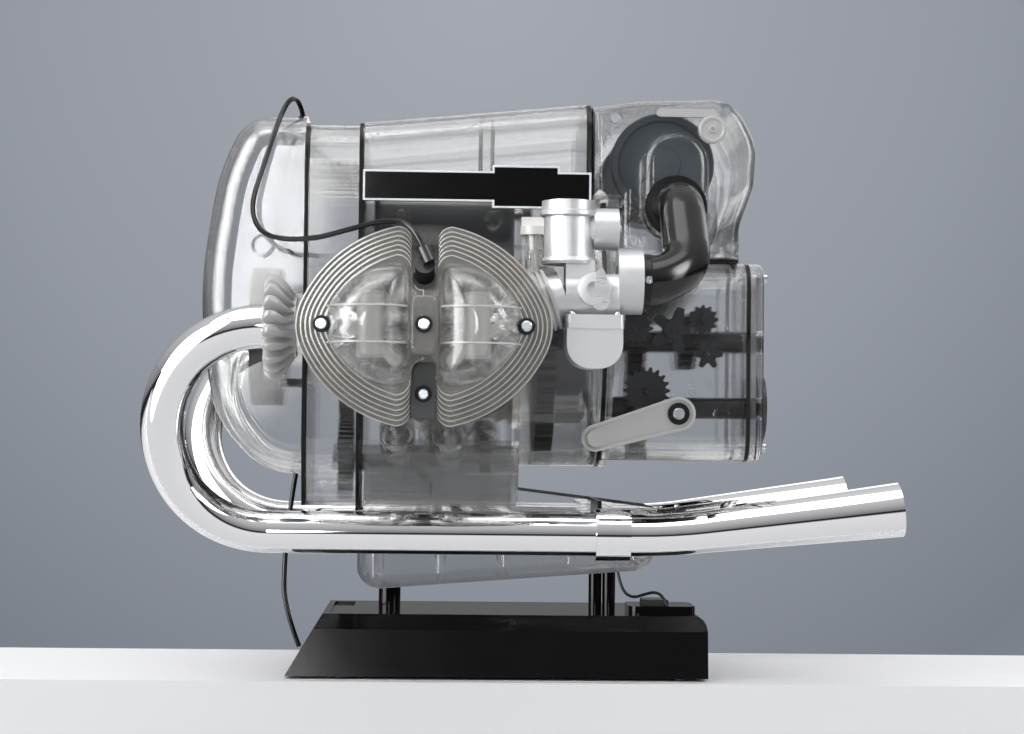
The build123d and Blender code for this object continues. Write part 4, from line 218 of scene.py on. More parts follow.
plastic(
    "black_gloss", (0.003, 0.003, 0.0035), (0.006, 0.006, 0.0065), 0.07, 0.13, 300.0, 0.015, 0.14
)
plastic("black_satin", (0.012, 0.012, 0.013), (0.02, 0.02, 0.021), 0.3, 0.45)
plastic("rubber_black", (0.003,) * 3, (0.007,) * 3, 0.2, 0.3, 600.0, 0.04, 0.3)
plastic("gasket_black", (0.003,) * 3, (0.006,) * 3, 0.25, 0.36, 500.0, 0.04, 0.25)
plastic("dark_grey", (0.05, 0.052, 0.055), (0.08, 0.083, 0.087), 0.3, 0.45)
plastic("gear_dark", (0.02, 0.021, 0.023), (0.05, 0.052, 0.056), 0.25, 0.4)
plastic("filter_blue", (0.045, 0.058, 0.07), (0.1, 0.122, 0.14), 0.3, 0.45, 500.0, 0.06)
plastic("nut_grey", (0.42, 0.42, 0.415), (0.52, 0.52, 0.51), 0.24, 0.36)
plastic("rocker_grey", (0.5, 0.5, 0.48), (0.62, 0.62, 0.6), 0.25, 0.38)
plastic("white", (0.78, 0.77, 0.74), (0.84, 0.83, 0.8), 0.3, 0.42)
see_through("clear", (0.9, 0.895, 0.87), (0.95, 0.945, 0.92), 0.5)
see_through("smoked", (0.72, 0.72, 0.71), (0.78, 0.78, 0.77), 0.45)
see_through("head_clear", (0.95, 0.935, 0.9), (0.97, 0.955, 0.93), 0.35)
see_through("dome_clear", (0.95, 0.94, 0.91), (0.98, 0.97, 0.94), 0.5, 0.02)
see_through("cover_rib", (0.8, 0.79, 0.76), (0.86, 0.85, 0.82), 0.75)
# Pale ribs on the domes; the same look paints the highlights along the cover's rings
see_through("rib_light", (0.72, 0.71, 0.67), (0.82, 0.81, 0.77), 0.85, 0.08, 0.2)
see_through("ring_smoke", (0.5, 0.485, 0.45), (0.6, 0.585, 0.55), 0.62, 0.06, 0.66)
see_through("liner_smoke", (0.5, 0.5, 0.49), (0.6, 0.6, 0.59), 0.6, 0.06, 0.6)
see_through("dark_smoke", (0.3, 0.3, 0.31), (0.42, 0.42, 0.43), 0.72)
metal("chrome", (0.86, 0.87, 0.88), (0.9, 0.9, 0.91), 0.015, 0.045, bump=0.004)
metal("silver", (0.52, 0.53, 0.54), (0.6, 0.61, 0.62), 0.34, 0.46, even, 0.06, 0.75)
metal("trim_silver", (0.74, 0.75, 0.77), (0.86, 0.87, 0.88), 0.3, 0.42, metallic=0.35)
metal("metal_paint", (0.2, 0.205, 0.21), (0.28, 0.285, 0.29), 0.32, 0.45, metallic=0.6)
metal("steel", (0.55, 0.56, 0.57), (0.68, 0.69, 0.7), 0.2, 0.34, (1.0, 1.0, 6.0))
metal("screw_steel", (0.5, 0.54, 0.58), (0.64, 0.67, 0.7), 0.18, 0.3)
hose_and_stub("hose_black")

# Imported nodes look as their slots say, but for these
special = {
    "casing_screws": "screw_steel",
    "intake_hoses": "hose_black",
    "input_shaft": "gear_dark",
    "layshaft": "gear_dark",
    "choke_lever": "nut_grey",
}
for side_name in ("left", "right"):
    for part_name in ("_head", "_cylinder"):
        special[side_name + part_name] = "head_clear"
    for part_name in ("_exhaust_rocker", "_inlet_rocker"):
        special[side_name + part_name] = "rocker_grey"
slot_of = {part["node"]: part["material_slot"] for part in frame["record"]["subparts"]}
for node, packed in frame["nodes"].items():
    packed.data.materials.clear()
    packed.data.materials.append(looks[special.get(node, slot_of[node])])

# Leads, their points in millimetres

lead_points = {
    "left_ignition_lead": [
        (-122.0, -20.0, 301.0), (-123.5, -27.0, 309.5), (-128.0, -40.0, 310.0),
        (-133.0, -52.0, 297.0), (-141.0, -57.0, 270.0), (-147.0, -67.0, 246.0),
        (-138.0, -87.0, 230.0), (-113.0, -108.0, 227.0), (-89.0, -129.0, 232.0),
        (-73.0, -147.0, 234.5), (-60.0, -161.5, 231.0), (-55.0, -163.0, 220.0),
    ],
    "stand_lead": [
        (-124.0, -12.0, 106.8), (-127.5, -12.5, 84.0), (-129.5, -13.5, 58.0),
        (-129.5, -14.5, 34.0), (-120.8, -15.0, 12.3),
    ],
    "sump_lead": [
        (52.0, -30.0, 55.9), (54.0, -30.5, 46.0), (60.0, -31.2, 41.5), (66.5, -32.0, 43.6),
        (72.5, -32.9, 45.2), (77.0, -33.3, 42.4), (78.2, -33.5, 37.6),
    ],
}
# The right cylinder is further back than the left, and its lead moves back bit by bit
right_shift = 20.0
right_shares = (0, 0, 0, 0, 0.1, 0.2, 0.4, 0.6, 0.8, 1, 1, 1)
lead_points["right_ignition_lead"] = [
    (x + right_shift * share, -y, z)
    for (x, y, z), share in zip(lead_points["left_ignition_lead"], right_shares)
]


def lead_curve(name, points, radius):
    """A smooth round lead along its route."""
    curve = bpy.data.curves.new(name, "CURVE")
    curve.dimensions = "3D"
    curve.bevel_depth = radius
    curve.bevel_resolution = 5
    curve.resolution_u = 16
    curve.use_fill_caps = True
    spline = curve.splines.new("NURBS")
    spline.points.add(len(points) - 1)
    for control, point in zip(spline.points, points):
        control.co = (*point, 1.0)
    spline.order_u = 3
    spline.use_endpoint_u = True
    curve.materials.append(looks["rubber_black"])
    lead = bpy.data.objects.new(name, curve)
    scene.collection.objects.link(lead)
    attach(lead, "engine")
    return lead


# The share is how much shorter the smooth lead is than the line through its points
thick_radius, thin_radius = 0.00135, 0.0008
for name, radius, share in (
    ("left_ignition_lead", thick_radius, 0.95),
    ("right_ignition_lead", thick_radius, 0.95),
    ("stand_lead", thick_radius, 0.985),
    ("sump_lead", thin_radius, 0.93),
):
    route = [Vector(point) / 1000 for point in lead_points[name]]
    lead_curve(name, route, radius)
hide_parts("ignition_leads")
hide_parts("stand_leads")


# Mesh building, in millimetres but for the weld distance

weld = 1e-6


def mesh_piece(name, points, faces, look, slot, body="engine", sharp=32.0, outward_y=0):
    """A mesh that rides on a body, smooth but for its sharp edges."""
    mesh = bpy.data.meshes.new(name)
    mesh.from_pydata([tuple(value / 1000 for value in point) for point in points], [], faces)
    return finished(name, mesh, look, body, sharp, outward_y)


def finished(name, mesh, look, body="engine", sharp=32.0, outward_y=0):
    """Cleans a mesh and gives it its look and its body; outward_y turns open shells outward."""
    work = bmesh.new()
    work.from_mesh(mesh)
    bmesh.ops.remove_doubles(work, verts=work.verts, dist=weld)
    bmesh.ops.recalc_face_normals(work, faces=work.faces)
    if outward_y * sum(face.normal.y * face.calc_area() for face in work.faces) < 0:
        bmesh.ops.reverse_faces(work, faces=work.faces)
    work.to_mesh(mesh)
    work.free()
    mesh.shade_smooth()
    mesh.set_sharp_from_angle(angle=radians(sharp))
    mesh.materials.clear()
    mesh.materials.append(looks[look])
    piece = bpy.data.objects.new(name, mesh)
    scene.collection.objects.link(piece)
    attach(piece, body)
    return piece


def joined_rings(rings, first_face=False, last_face=False):
    """Closed rings of equal count joined one after another."""
    count = len(rings[0])
    points = [point for ring in rings for point in ring]
    faces = []
    for start in range(0, (len(rings) - 1) * count, count):
        for step in range(count):
            after = (step + 1) % count
            face = (step, after, count + after, count + step)
            faces.append(tuple(index + start for index in face))
    if first_face:
        faces.append(tuple(range(count)))
    if last_face:
        faces.append(tuple(range((len(rings) - 1) * count, len(rings) * count)))
    return points, faces


def solid_rings(rings):
    """Rings joined one after another and closed at both ends."""
    return joined_rings(rings, first_face=True, last_face=True)


def looped_rings(rings):
    """Rings joined one after another, and the last with the first."""
    return joined_rings(rings + rings[:1])


def together(parts):
    """Several sets of points and faces as one."""
    points, faces = [], []
    for part_points, part_faces in parts:
        start = len(points)
        points += part_points
        faces += [tuple(index + start for index in face) for face in part_faces]
    return points, faces


def turns(steps):
    """Angles once around."""
    return [tau * step / steps for step in range(steps)]


def squared(value, power):
    """A sine or cosine pulled towards a square outline."""
    return copysign(abs(value) ** power, value)


def turned(profile, placed, steps=64):
    """A closed profile of length and radius, turned about its axis."""
    rings = []
    for length, radius in profile:
        circle = [(radius * cos(turn), radius * sin(turn)) for turn in turns(steps)]
        rings.append([placed(length, across, up) for across, up in circle])
    return looped_rings(rings)


def facing_side(x, y, z, side=-1):
    """Places a height outward along Y, side -1 being the left of the engine."""
    return lambda height, across, up: (x + across, y + side * height, z + up)


def facing_up(x, y, z):
    return lambda height, across, up: (x + across, y + up, z + height)


def facing_rear(x, y, z):
    return lambda height, across, up: (x + height, y + across, z + up)


# Rocker covers: stepped rings, two clear domes and a channel between them. Points are given as
# across and up from the middle of the cylinder, with their rise over the cover's base.

left_middle_x, right_middle_x = -54.0, -34.0
cylinder_height, cover_base, outer_limit = 182.0, 150.0, 184.9
ring_rise, ring_step, ring_count = 2.7, 2.4, 6
plate_rise = ring_count * ring_rise
# The oval: two small end circles and two large flanks
end_radius, half_length, half_height = 28.0, 62.8, 50.3
side_reach = half_length - end_radius
end_drop = half_height - end_radius
flank_drop = (side_reach**2 - end_drop**2) / (2 * end_drop)
flank_radius = half_height + flank_drop
notch_half_width, notch_foot, shoulder = 6.4, 17.0, 7.0
flank_steps, notch_steps, shoulder_steps = 96, 12, 8
# The domes
dome_rise, dome_middle_x, dome_inset, dome_power, dome_steps = 18.8, 28.0, 14.6, 2.7, 96
channel_half_width, dome_half_height, corner_power = 7.6, 30.0, 9.0
screw_reach, screw_angle = 17.4, 0.2


def on_cover(middle_x, side):
    return lambda x, z, rise: (middle_x + x, side * (cover_base + rise), cylinder_height + z)


def head_point(angle, inset):
    """A point of the head's pointed oval, drawn in by a distance, for a direction of its edge."""
    across, up = cos(angle), sin(angle)
    if abs(up) * side_reach < abs(across) * flank_drop:
        middle_x, middle_z, radius = copysign(side_reach, across), 0.0, end_radius
    else:
        middle_x, middle_z, radius = 0.0, -copysign(flank_drop, up), flank_radius
    return middle_x + (radius - inset) * across, middle_z + (radius - inset) * up


def notched_outline(inset):
    """The oval with a round-ended notch at its top and at its bottom, with round shoulders."""
    edge = acos((notch_half_width + shoulder) / (flank_radius - inset))
    shoulder_z = abs(head_point(edge, inset)[1])
    shoulder_arc = []
    for step in range(1, shoulder_steps):
        turn = pi / 2 * step / shoulder_steps
        x = notch_half_width + shoulder * (1 - sin(turn))
        shoulder_arc.append((x, shoulder_z - shoulder * (1 - cos(turn))))
    outline = []
    for side, start in ((-1, 0.0), (1, pi)):
        for step in range(flank_steps + 1):
            outline.append(head_point(edge - 2 * edge * step / flank_steps + start, inset))
        outline += [(-side * x, side * z) for x, z in shoulder_arc]
        for step in range(notch_steps + 1):
            turn = pi * step / notch_steps
            z = notch_foot + notch_half_width - notch_half_width * sin(turn)
            outline.append((-side * notch_half_width * cos(turn), side * z))
        outline += [(side * x, side * z) for x, z in reversed(shoulder_arc)]
    return outline


def in_dome_outline(x, z):
    """Whether a point of the right half is within the oval drawn in for the domes."""
    if abs(z) * side_reach < (x - side_reach) * flank_drop:
        return hypot(x - side_reach, z) < end_radius - dome_inset
    return hypot(x, abs(z) + flank_drop) < flank_radius - dome_inset


def dome_reach(angle):
    """How far a dome's edge is from its middle, for its right-hand dome."""
    across, up = cos(angle), sin(angle)
    low, high, halvings = 0.0, 60.0, 30
    for _ in range(halvings):
        middle = (low + high) / 2
        if in_dome_outline(dome_middle_x + middle * across, middle * up):
            low = middle
        else:
            high = middle
    limits = [low]
    if across < 0:
        limits.append((dome_middle_x - channel_half_width) / -across)
    if up:
        limits.append(dome_half_height / abs(up))
    soft = sum(limit**-corner_power for limit in limits) ** (-1 / corner_power)
    from_screw = (angle if angle < pi else angle - tau) / screw_angle
    return soft - max(0.0, soft - screw_reach) * exp(-(from_screw**2))


dome_edge = [dome_reach(turn) for turn in turns(dome_steps)]


def dome_level(share):
    """How high a dome stands at a share of the way from its middle to its edge."""
    return dome_rise * (1 - share**dome_power) ** 0.5


def dome_ring(share, lobe):
    """Across and up for a level of a dome, from its edge at 1 to its top at 0."""
    ring = []
    for turn, reach in zip(turns(dome_steps), dome_edge):
        x = lobe * (dome_middle_x + share * reach * cos(turn))
        ring.append((x, share * reach * sin(turn)))
    return ring


def dome_height(x, z):
    """The height of the cover's outer face over its plate."""
    middle = copysign(dome_middle_x, x)
    angle = atan2(z, (x - middle) * (1 if x > 0 else -1)) % tau
    reach = dome_edge[int(angle / tau * dome_steps) % dome_steps]
    share = hypot(x - middle, z) / reach
    return dome_level(share) if share < 1 else 0.0


def stepped_rings(placed):
    """The cover's rings, one step up and in after another, and the loop where they end."""
    rounding = 0.55
    rings = []
    for step in range(ring_count):
        foot = step * ring_rise
        for more_inset, rise in (
            (0.0, foot),
            (0.0, foot + ring_rise - rounding),
            (0.3 * rounding, foot + ring_rise - 0.3 * rounding),
            (rounding, foot + ring_rise),
        ):
            outline = notched_outline(step * ring_step + more_inset)
            rings.append([placed(x, z, rise) for x, z in outline])
    outline = notched_outline(ring_count * ring_step)
    rings.append([placed(x, z, plate_rise) for x, z in outline])
    return joined_rings(rings), rings[-1]


def flat_between(loops):
    """A flat face between an outer loop and the loops inside it."""
    work = bmesh.new()
    for loop in loops:
        corners = [work.verts.new(Vector(point) / 1000) for point in loop]
        for first, second in zip(corners, corners[1:] + corners[:1]):
            if (first.co - second.co).length > 1e-7:
                work.edges.new((first, second))
    bmesh.ops.remove_doubles(work, verts=work.verts, dist=weld)
    bmesh.ops.triangle_fill(work, edges=work.edges, use_beauty=True, use_dissolve=False)
    work.verts.index_update()
    points = [tuple(corner.co * 1000) for corner in work.verts]
    faces = [tuple(corner.index for corner in face.verts) for face in work.faces]
    work.free()
    return points, faces


def channel_bridge(placed):
    """The raised bridge over the channel, in the middle of the cover."""
    half_x, half_z, corner = 6.9, 14.4, 0.35
    rings = []
    for rise, grow in ((0.0, 0.0), (6.6, 0.0), (8.0, -0.5), (8.6, -1.4)):
        ring = []
        for turn in turns(40):
            x = (half_x + grow) * squared(cos(turn), corner)
            z = (half_z + grow) * squared(sin(turn), corner)
            ring.append(placed(x, z, plate_rise + rise))
        rings.append(ring)
    return joined_rings(rings, last_face=True)


def rocker_cover(name, placed, side):
    """A clear cover with rings, domes and a bridge over its channel."""
    steps, inner_edge = stepped_rings(placed)
    levels, top_share, wall_thickness = 16, 0.02, 0.0016
    shares = [sin(pi / 2 * (1 - level / levels)) for level in range(levels)] + [top_share]
    domes, dome_loops = [], []
    for lobe in (-1, 1):
        dome_rings = [
            [placed(x, z, plate_rise + dome_level(share)) for x, z in dome_ring(share, lobe)]
            for share in shares
        ]
        dome_loops.append(dome_rings[0])
        domes.append(joined_rings(dome_rings, last_face=True))
    plate = flat_between([inner_edge] + dome_loops)
    for part_name, parts, look in (
        ("_cover_rings", [steps, plate, channel_bridge(placed)], "ring_smoke"),
        ("_cover_domes", domes, "dome_clear"),
    ):
        shell = mesh_piece(
            name + part_name, *together(parts), look, "smoked", sharp=40.0, outward_y=side
        )
        wall = shell.modifiers.new("wall", "SOLIDIFY")
        wall.thickness = wall_thickness
        wall.offset = -1.0
        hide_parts(name + "_rocker_cover")


def cover_ribs(name, placed):
    """Two thin ribs across each dome."""
    rib_z, rib_height, rib_start, rib_end, steps = 8.8, 1.4, 7.9, 47.0, 40
    strips = []
    for z in (rib_z, -rib_z):
        for lobe in (-1, 1):
            rows = []
            for step in range(steps + 1):
                x = lobe * (rib_start + (rib_end - rib_start) * step / steps)
                top = min(plate_rise + dome_height(x, z) + 0.5, outer_limit - cover_base)
                foot = top - rib_height
                section = ((-0.55, foot), (-0.4, top), (0.4, top), (0.55, foot))
                rows.append([placed(x, z + aside, rise) for aside, rise in section])
            strips.append(solid_rings(rows))
    mesh_piece(name, *together(strips), "rib_light", "smoked")


def painted_ring_highlights(name, placed):
    """Pale bands along the cover's rings, painted highlights where the ring edges catch the light."""
    parts = []
    for step in range(ring_count + 1):
        rise = min(step + 1, ring_count) * ring_rise
        levels = [
            [placed(x, z, rise + lift) for x, z in notched_outline(step * ring_step + inset)]
            for inset, lift in ((-0.05, -0.5), (-0.05, 0.1), (0.6, 0.12), (0.6, -0.5))
        ]
        parts.append(looped_rings(levels))
    mesh_piece(name, *together(parts), "rib_light", "smoked", sharp=60.0)


def channel_plate(name, placed):
    """The dark plate that shows in a cover's channel."""
    half_width = 5.9
    parts = []
    for low, high in ((-45.0, -17.5), (17.5, 26.0)):
        outline = [(-half_width, low), (half_width, low), (half_width, high), (-half_width, high)]
        levels = [[placed(x, z, rise) for x, z in outline] for rise in (0.4, 2.6)]
        parts.append(solid_rings(levels))
    mesh_piece(name, *together(parts), "dark_grey", "dark_grey")


for name, middle_x, side in (("left", left_middle_x, -1), ("right", right_middle_x, 1)):
    placed = on_cover(middle_x, side)
    rocker_cover(name, placed, side)
    cover_ribs(name + "_cover_ribs", placed)
    painted_ring_highlights(name + "_painted_ring_highlights", placed)
    channel_plate(name + "_channel_plate", placed)


# Black joint bands, cut from the casings' own walls

def joint_band(name, node, low, high, axis):
    """A thin slice of a casing's wall, standing a little proud of it."""
    proud = 0.28
    work = bmesh.new()
    work.from_mesh(frame["nodes"][node].data)
    bmesh.ops.remove_doubles(work, verts=work.verts, dist=weld)
    for level, way in ((low, 1), (high, -1)):
        direction, point = Vector(), Vector()
        direction[axis] = way
        point[axis] = level / 1000
        whole = work.verts[:] + work.edges[:] + work.faces[:]
        bmesh.ops.bisect_plane(
            work, geom=whole, plane_co=point, plane_no=direction, clear_inner=True
        )
        rim = [edge for edge in work.edges if edge.is_boundary]
        on_plane = [
            edge for edge in rim if all(abs(v.co[axis] - point[axis]) < 1e-6 for v in edge.verts)
        ]
        bmesh.ops.triangle_fill(work, edges=on_plane, use_beauty=True, use_dissolve=False)
    bmesh.ops.recalc_face_normals(work, faces=work.faces)
    work.normal_update()
    for corner, normal in [(corner, corner.normal.copy()) for corner in work.verts]:
        corner.co += normal * proud / 1000
    mesh = bpy.data.meshes.new(name)
    work.to_mesh(mesh)
    work.free()
    finished(name, mesh, "gasket_black")


for name, node, low, high, axis in (
    ("nose_joint", "timing_housing", -119.0, -117.4, 0),
    ("timing_joint", "crankcase", -90.0, -88.6, 0),
    ("cover_front_joint", "top_cover", -90.0, -88.6, 0),
    ("cover_rear_joint", "top_cover", 32.4, 34.0, 0),
    ("airbox_front_joint", "airbox_halves", 34.0, 35.2, 0),
    ("airbox_foot_joint", "airbox_halves", 223.9, 225.2, 2),
    ("bell_joint", "crankcase", 40.2, 42.0, 0),
    ("gearbox_joint", "gearbox_case", 119.4, 121.0, 0),
):
    joint_band(name, node, low, high, axis)


# Badge border

def drawn_in(outline, distance):
    """A square-cornered outline drawn in by a distance."""
    inner = []
    for index, (x, z) in enumerate(outline):
        before, after = outline[index - 1], outline[(index + 1) % len(outline)]
        shift_x = shift_z = 0.0
        for (from_x, from_z), (to_x, to_z) in ((before, (x, z)), ((x, z), after)):
            length = hypot(to_x - from_x, to_z - from_z)
            shift_x -= (to_z - from_z) / length * distance
            shift_z += (to_x - from_x) / length * distance
        inner.append((x + shift_x, z + shift_z))
    return inner


badge_low, badge_high = (corner * 1000 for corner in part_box("badge_plate"))
badge_front = badge_low.y
# The plate is higher between these two places
wide_start, wide_end, end_foot, end_top = -19.0, 17.0, 253.5, 270.0
badge_outline = [
    (badge_low.x, end_foot), (wide_start, end_foot), (wide_start, badge_low.z),
    (wide_end, badge_low.z), (wide_end, end_foot), (badge_high.x, end_foot),
    (badge_high.x, end_top), (wide_end, end_top), (wide_end, badge_high.z),
    (wide_start, badge_high.z), (wide_start, end_top), (badge_low.x, end_top),
]
border_profile = ((0.0, -0.4), (0.0, 0.1), (0.15, 0.3), (1.0, 0.3), (1.15, 0.1), (1.15, -0.4))
border_rings = [
    [(x, badge_front - proud, z) for x, z in drawn_in(badge_outline, inset)]
    for inset, proud in border_profile
]
mesh_piece(
    "badge_border", *looped_rings(border_rings), "trim_silver", "steel", sharp=50.0
)


# Exhaust nuts with petal fins

nut_start, nut_length, nut_middle_y = -117.4, 16.3, 127.5
hub_radius, front_radius, bore_radius, petal_radius, petal_count = 15.0, 14.4, 12.0, 27.0, 20
hub_profile = [
    (0.0, bore_radius), (0.0, hub_radius), (nut_length - 0.6, hub_radius),
    (nut_length, front_radius), (nut_length, bore_radius),
]


def past(share, start, slowness):
    """Grows with the square of how far a share is past its start."""
    return max(0.0, share - start) ** 2 / slowness


def petal(angle, placed):
    """One wavy fin that leans forward and has a rounded end."""
    root_half, tip_half, bend = 1.0, 2.5, 0.055
    front_gap, back_gap, back_lean = 0.3, 0.4, 9.6
    front_round, back_round, side_round = 3.2, 2.2, 1.4
    rings = []
    levels = 12
    for level in range(levels + 1):
        share = level / levels
        tip = past(share, 0.8, 0.04)
        radius = front_radius + (petal_radius - front_radius) * share
        front = nut_length - front_gap - front_round * past(share, 0.72, 0.08)
        back = back_gap + back_lean * share**1.3 + back_round * tip
        half_thick = root_half + (tip_half - root_half) * share - side_round * tip
        lean = angle + bend * sin(pi * 1.4 * share)
        ring = []
        for turn in turns(16):
            along = (front + back) / 2 + (front - back) / 2 * squared(cos(turn), 0.5)
            aside = half_thick * squared(sin(turn), 0.6)
            across = radius * cos(lean) - aside * sin(angle)
            ring.append(placed(along, across, radius * sin(lean) + aside * cos(angle)))
        rings.append(ring)
    return solid_rings(rings)


def on_nut(shift, side):
    """Places a length forward along a nut's axis."""
    return lambda length, across, up: (
        nut_start + shift - length, side * nut_middle_y + across, cylinder_height + up
    )


for name, shift, side in (("left", 0.0, -1), ("right", right_shift, 1)):
    placed = on_nut(shift, side)
    parts = [turned(hub_profile, placed)]
    parts += [petal(tau * (step + 0.5) / petal_count, placed) for step in range(petal_count)]
    nut = mesh_piece(
        name + "_petal_nut", *together(parts), "nut_grey", "nut_grey", sharp=45.0
    )
    if name == "left":
        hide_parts("exhaust_nuts")

# Air filter: a pleated drum with dished ends

filter_low, filter_high = (corner * 1000 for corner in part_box("air_filter"))
filter_x = (filter_low.x + filter_high.x) / 2
filter_z = (filter_low.z + filter_high.z) / 2
filter_radius = (filter_high.x - filter_low.x) / 2 + 2.5
pleated_share, pleat_depth, pleat_count = 0.94, 0.025, 60
# From the middle of one end to the pleats; the other half is the same, turned around
half_profile = (
    (43.0, 0.05), (42.6, 0.34), (41.2, 0.37), (41.2, 0.82), (43.4, 0.86),
    (43.4, 0.97), (42.6, 1.0), (38.0, 1.0), (37.6, pleated_share),
)
filter_rings = []
for y, share in [(-y, share) for y, share in half_profile] + list(reversed(half_profile)):
    ring = []
    for turn in turns(180):
        pleat = pleat_depth * cos(pleat_count * turn) if share == pleated_share else 0.0
        reach = filter_radius * (share + pleat)
        ring.append((filter_x + reach * cos(turn), y, filter_z + reach * sin(turn)))
    filter_rings.append(ring)
drum = solid_rings(filter_rings)
filter_drum = mesh_piece("filter_drum", *drum, "filter_blue", "black_satin", sharp=40.0)
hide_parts("air_filter")

# Rounded edges on the stand and the badge

for node, width in (("base_cover", 1.6), ("start_button", 0.5), ("badge_plate", 0.25)):
    edge = frame["nodes"][node].modifiers.new("edges", "BEVEL")
    edge.width = width / 1000
    edge.segments = 3
    edge.limit_method = "ANGLE"
    edge.angle_limit = radians(28)


# Small fittings

def screw_head(placed, radius, height, recess_sides=6):
    """A round head with a sided recess; placed maps height, across and up to a point."""
    pit, pit_foot, top = 0.52 * radius, 0.95 * 0.52 * radius, 0.82 * radius
    half_side = pi / recess_sides

    def circle(level, reach, sided=False):
        ring = []
        for turn in turns(24):
            distance = reach
            if sided:
                local = turn % (2 * half_side) - half_side
                distance = reach * cos(half_side) / cos(local)
            ring.append(placed(level, distance * cos(turn), distance * sin(turn)))
        return ring

    return solid_rings(
        [
            circle(0.0, radius),
            circle(0.7 * height, radius),
            circle(height, top),
            circle(height, pit, True),
            circle(0.45 * height, pit_foot, True),
        ]
    )


def two_circle_outline(first, second, inset, steps=24):
    """The outline around two circles of x, z and radius, drawn in by a distance."""
    away_x, away_z = second[0] - first[0], second[1] - first[1]
    heading = atan2(away_z, away_x)
    lean = acos((first[2] - second[2]) / hypot(away_x, away_z))
    outline = []
    for (x, z, radius), start, turn in (
        (first, heading + lean, tau - 2 * lean),
        (second, heading - lean, 2 * lean),
    ):
        for step in range(steps + 1):
            angle = start + turn * step / steps
            outline.append((x + (radius - inset) * cos(angle), z + (radius - inset) * sin(angle)))
    return outline


# Rocker cover screws in dark rings: across, up and where the ring sits

cover_screws = ((-49.5, 0.0, 166.2), (49.5, 0.0, 166.2), (0.0, 0.0, 175.2), (0.0, -33.0, 153.0))
ring_profile = [(-0.2, 2.6), (-0.2, 4.2), (0.9, 4.2), (1.3, 3.8), (1.3, 3.1), (0.6, 2.6)]
ring_parts, screw_parts = [], []
for middle_x, side in ((left_middle_x, -1), (right_middle_x, 1)):
    for across, up, seat in cover_screws:
        x, z = middle_x + across, cylinder_height + up
        ring_parts.append(turned(ring_profile, facing_side(x, side * seat, z, side)))
        screw_parts.append(screw_head(facing_side(x, side * (seat + 1.6), z, side), 2.6, 1.1, 4))
mesh_piece("cover_screw_rings", *together(ring_parts), "gasket_black", "rubber_black")
mesh_piece("cover_screw_heads", *together(screw_parts), "screw_steel", "steel")

# Ribbed connectors in the timing housing

connector_x, connector_length = -117.0, 26.0
hole, core, rib_reach, rib_pitch, rib_start, rib_end = 0.8, 2.4, 3.3, 4.2, 2.0, 3.2
connector_profile = [(0.0, hole)]
for rib in range(6):
    foot = rib * rib_pitch
    connector_profile += [(foot, core), (foot + rib_start, core), (foot + rib_start, rib_reach)]
    connector_profile += [(foot + rib_end, rib_reach), (foot + rib_end, core)]
connector_profile += [(connector_length, core), (connector_length, hole)]
connectors = [
    turned(connector_profile, facing_rear(connector_x, y, z), 32)
    for y, z in ((-30.0, 272.5), (-30.0, 265.0), (30.0, 272.5), (30.0, 265.0))
]
mesh_piece("ribbed_connectors", *together(connectors), "cover_rib", "clear")

# Gear lever: raised rim, washer and screw

lever_face_y, lever_hub, lever_tip = -71.0, (80.0, 141.4, 9.0), (36.0, 128.0, 7.0)
rim_rings = []
for inset, proud in ((0.05, -0.5), (0.05, 0.7), (0.4, 1.0), (1.5, 1.0), (1.8, 0.7), (1.8, -0.5)):
    outline = two_circle_outline(lever_hub, lever_tip, inset)
    rim_rings.append([(x, lever_face_y - proud, z) for x, z in outline])
mesh_piece("lever_rim", *looped_rings(rim_rings), "nut_grey", "nut_grey", body="shift")
washer = turned(
    [(-0.3, 2.0), (-0.3, 5.8), (0.7, 5.8), (1.1, 5.4), (1.1, 2.0)],
    facing_side(lever_hub[0], lever_face_y, lever_hub[1]),
)
mesh_piece("lever_washer", *washer, "gasket_black", "rubber_black", body="shift")
lever_screw = screw_head(facing_side(lever_hub[0], lever_face_y - 0.4, lever_hub[1]), 3.1, 2.2)
mesh_piece("lever_screw", *lever_screw, "screw_steel", "steel", body="shift")

# Choke lever: ring and rivet on its disc

choke_x, choke_z = 99.3, 294.8
choke_face_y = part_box("choke_lever")[0].y * 1000
choke_ring = turned(
    [(-0.4, 5.4), (0.3, 5.4), (0.6, 5.8), (0.6, 6.8), (0.3, 7.2), (-0.4, 7.2)],
    facing_side(choke_x, choke_face_y, choke_z),
)
choke_rivet = screw_head(facing_side(choke_x, choke_face_y + 0.2, choke_z), 2.1, 1.4, 4)
mesh_piece(
    "choke_trim", *together([choke_ring, choke_rivet]), "nut_grey", "nut_grey", body="choke"
)

# Carburettors: cap rings, screws, clamps and the collars of the hoses

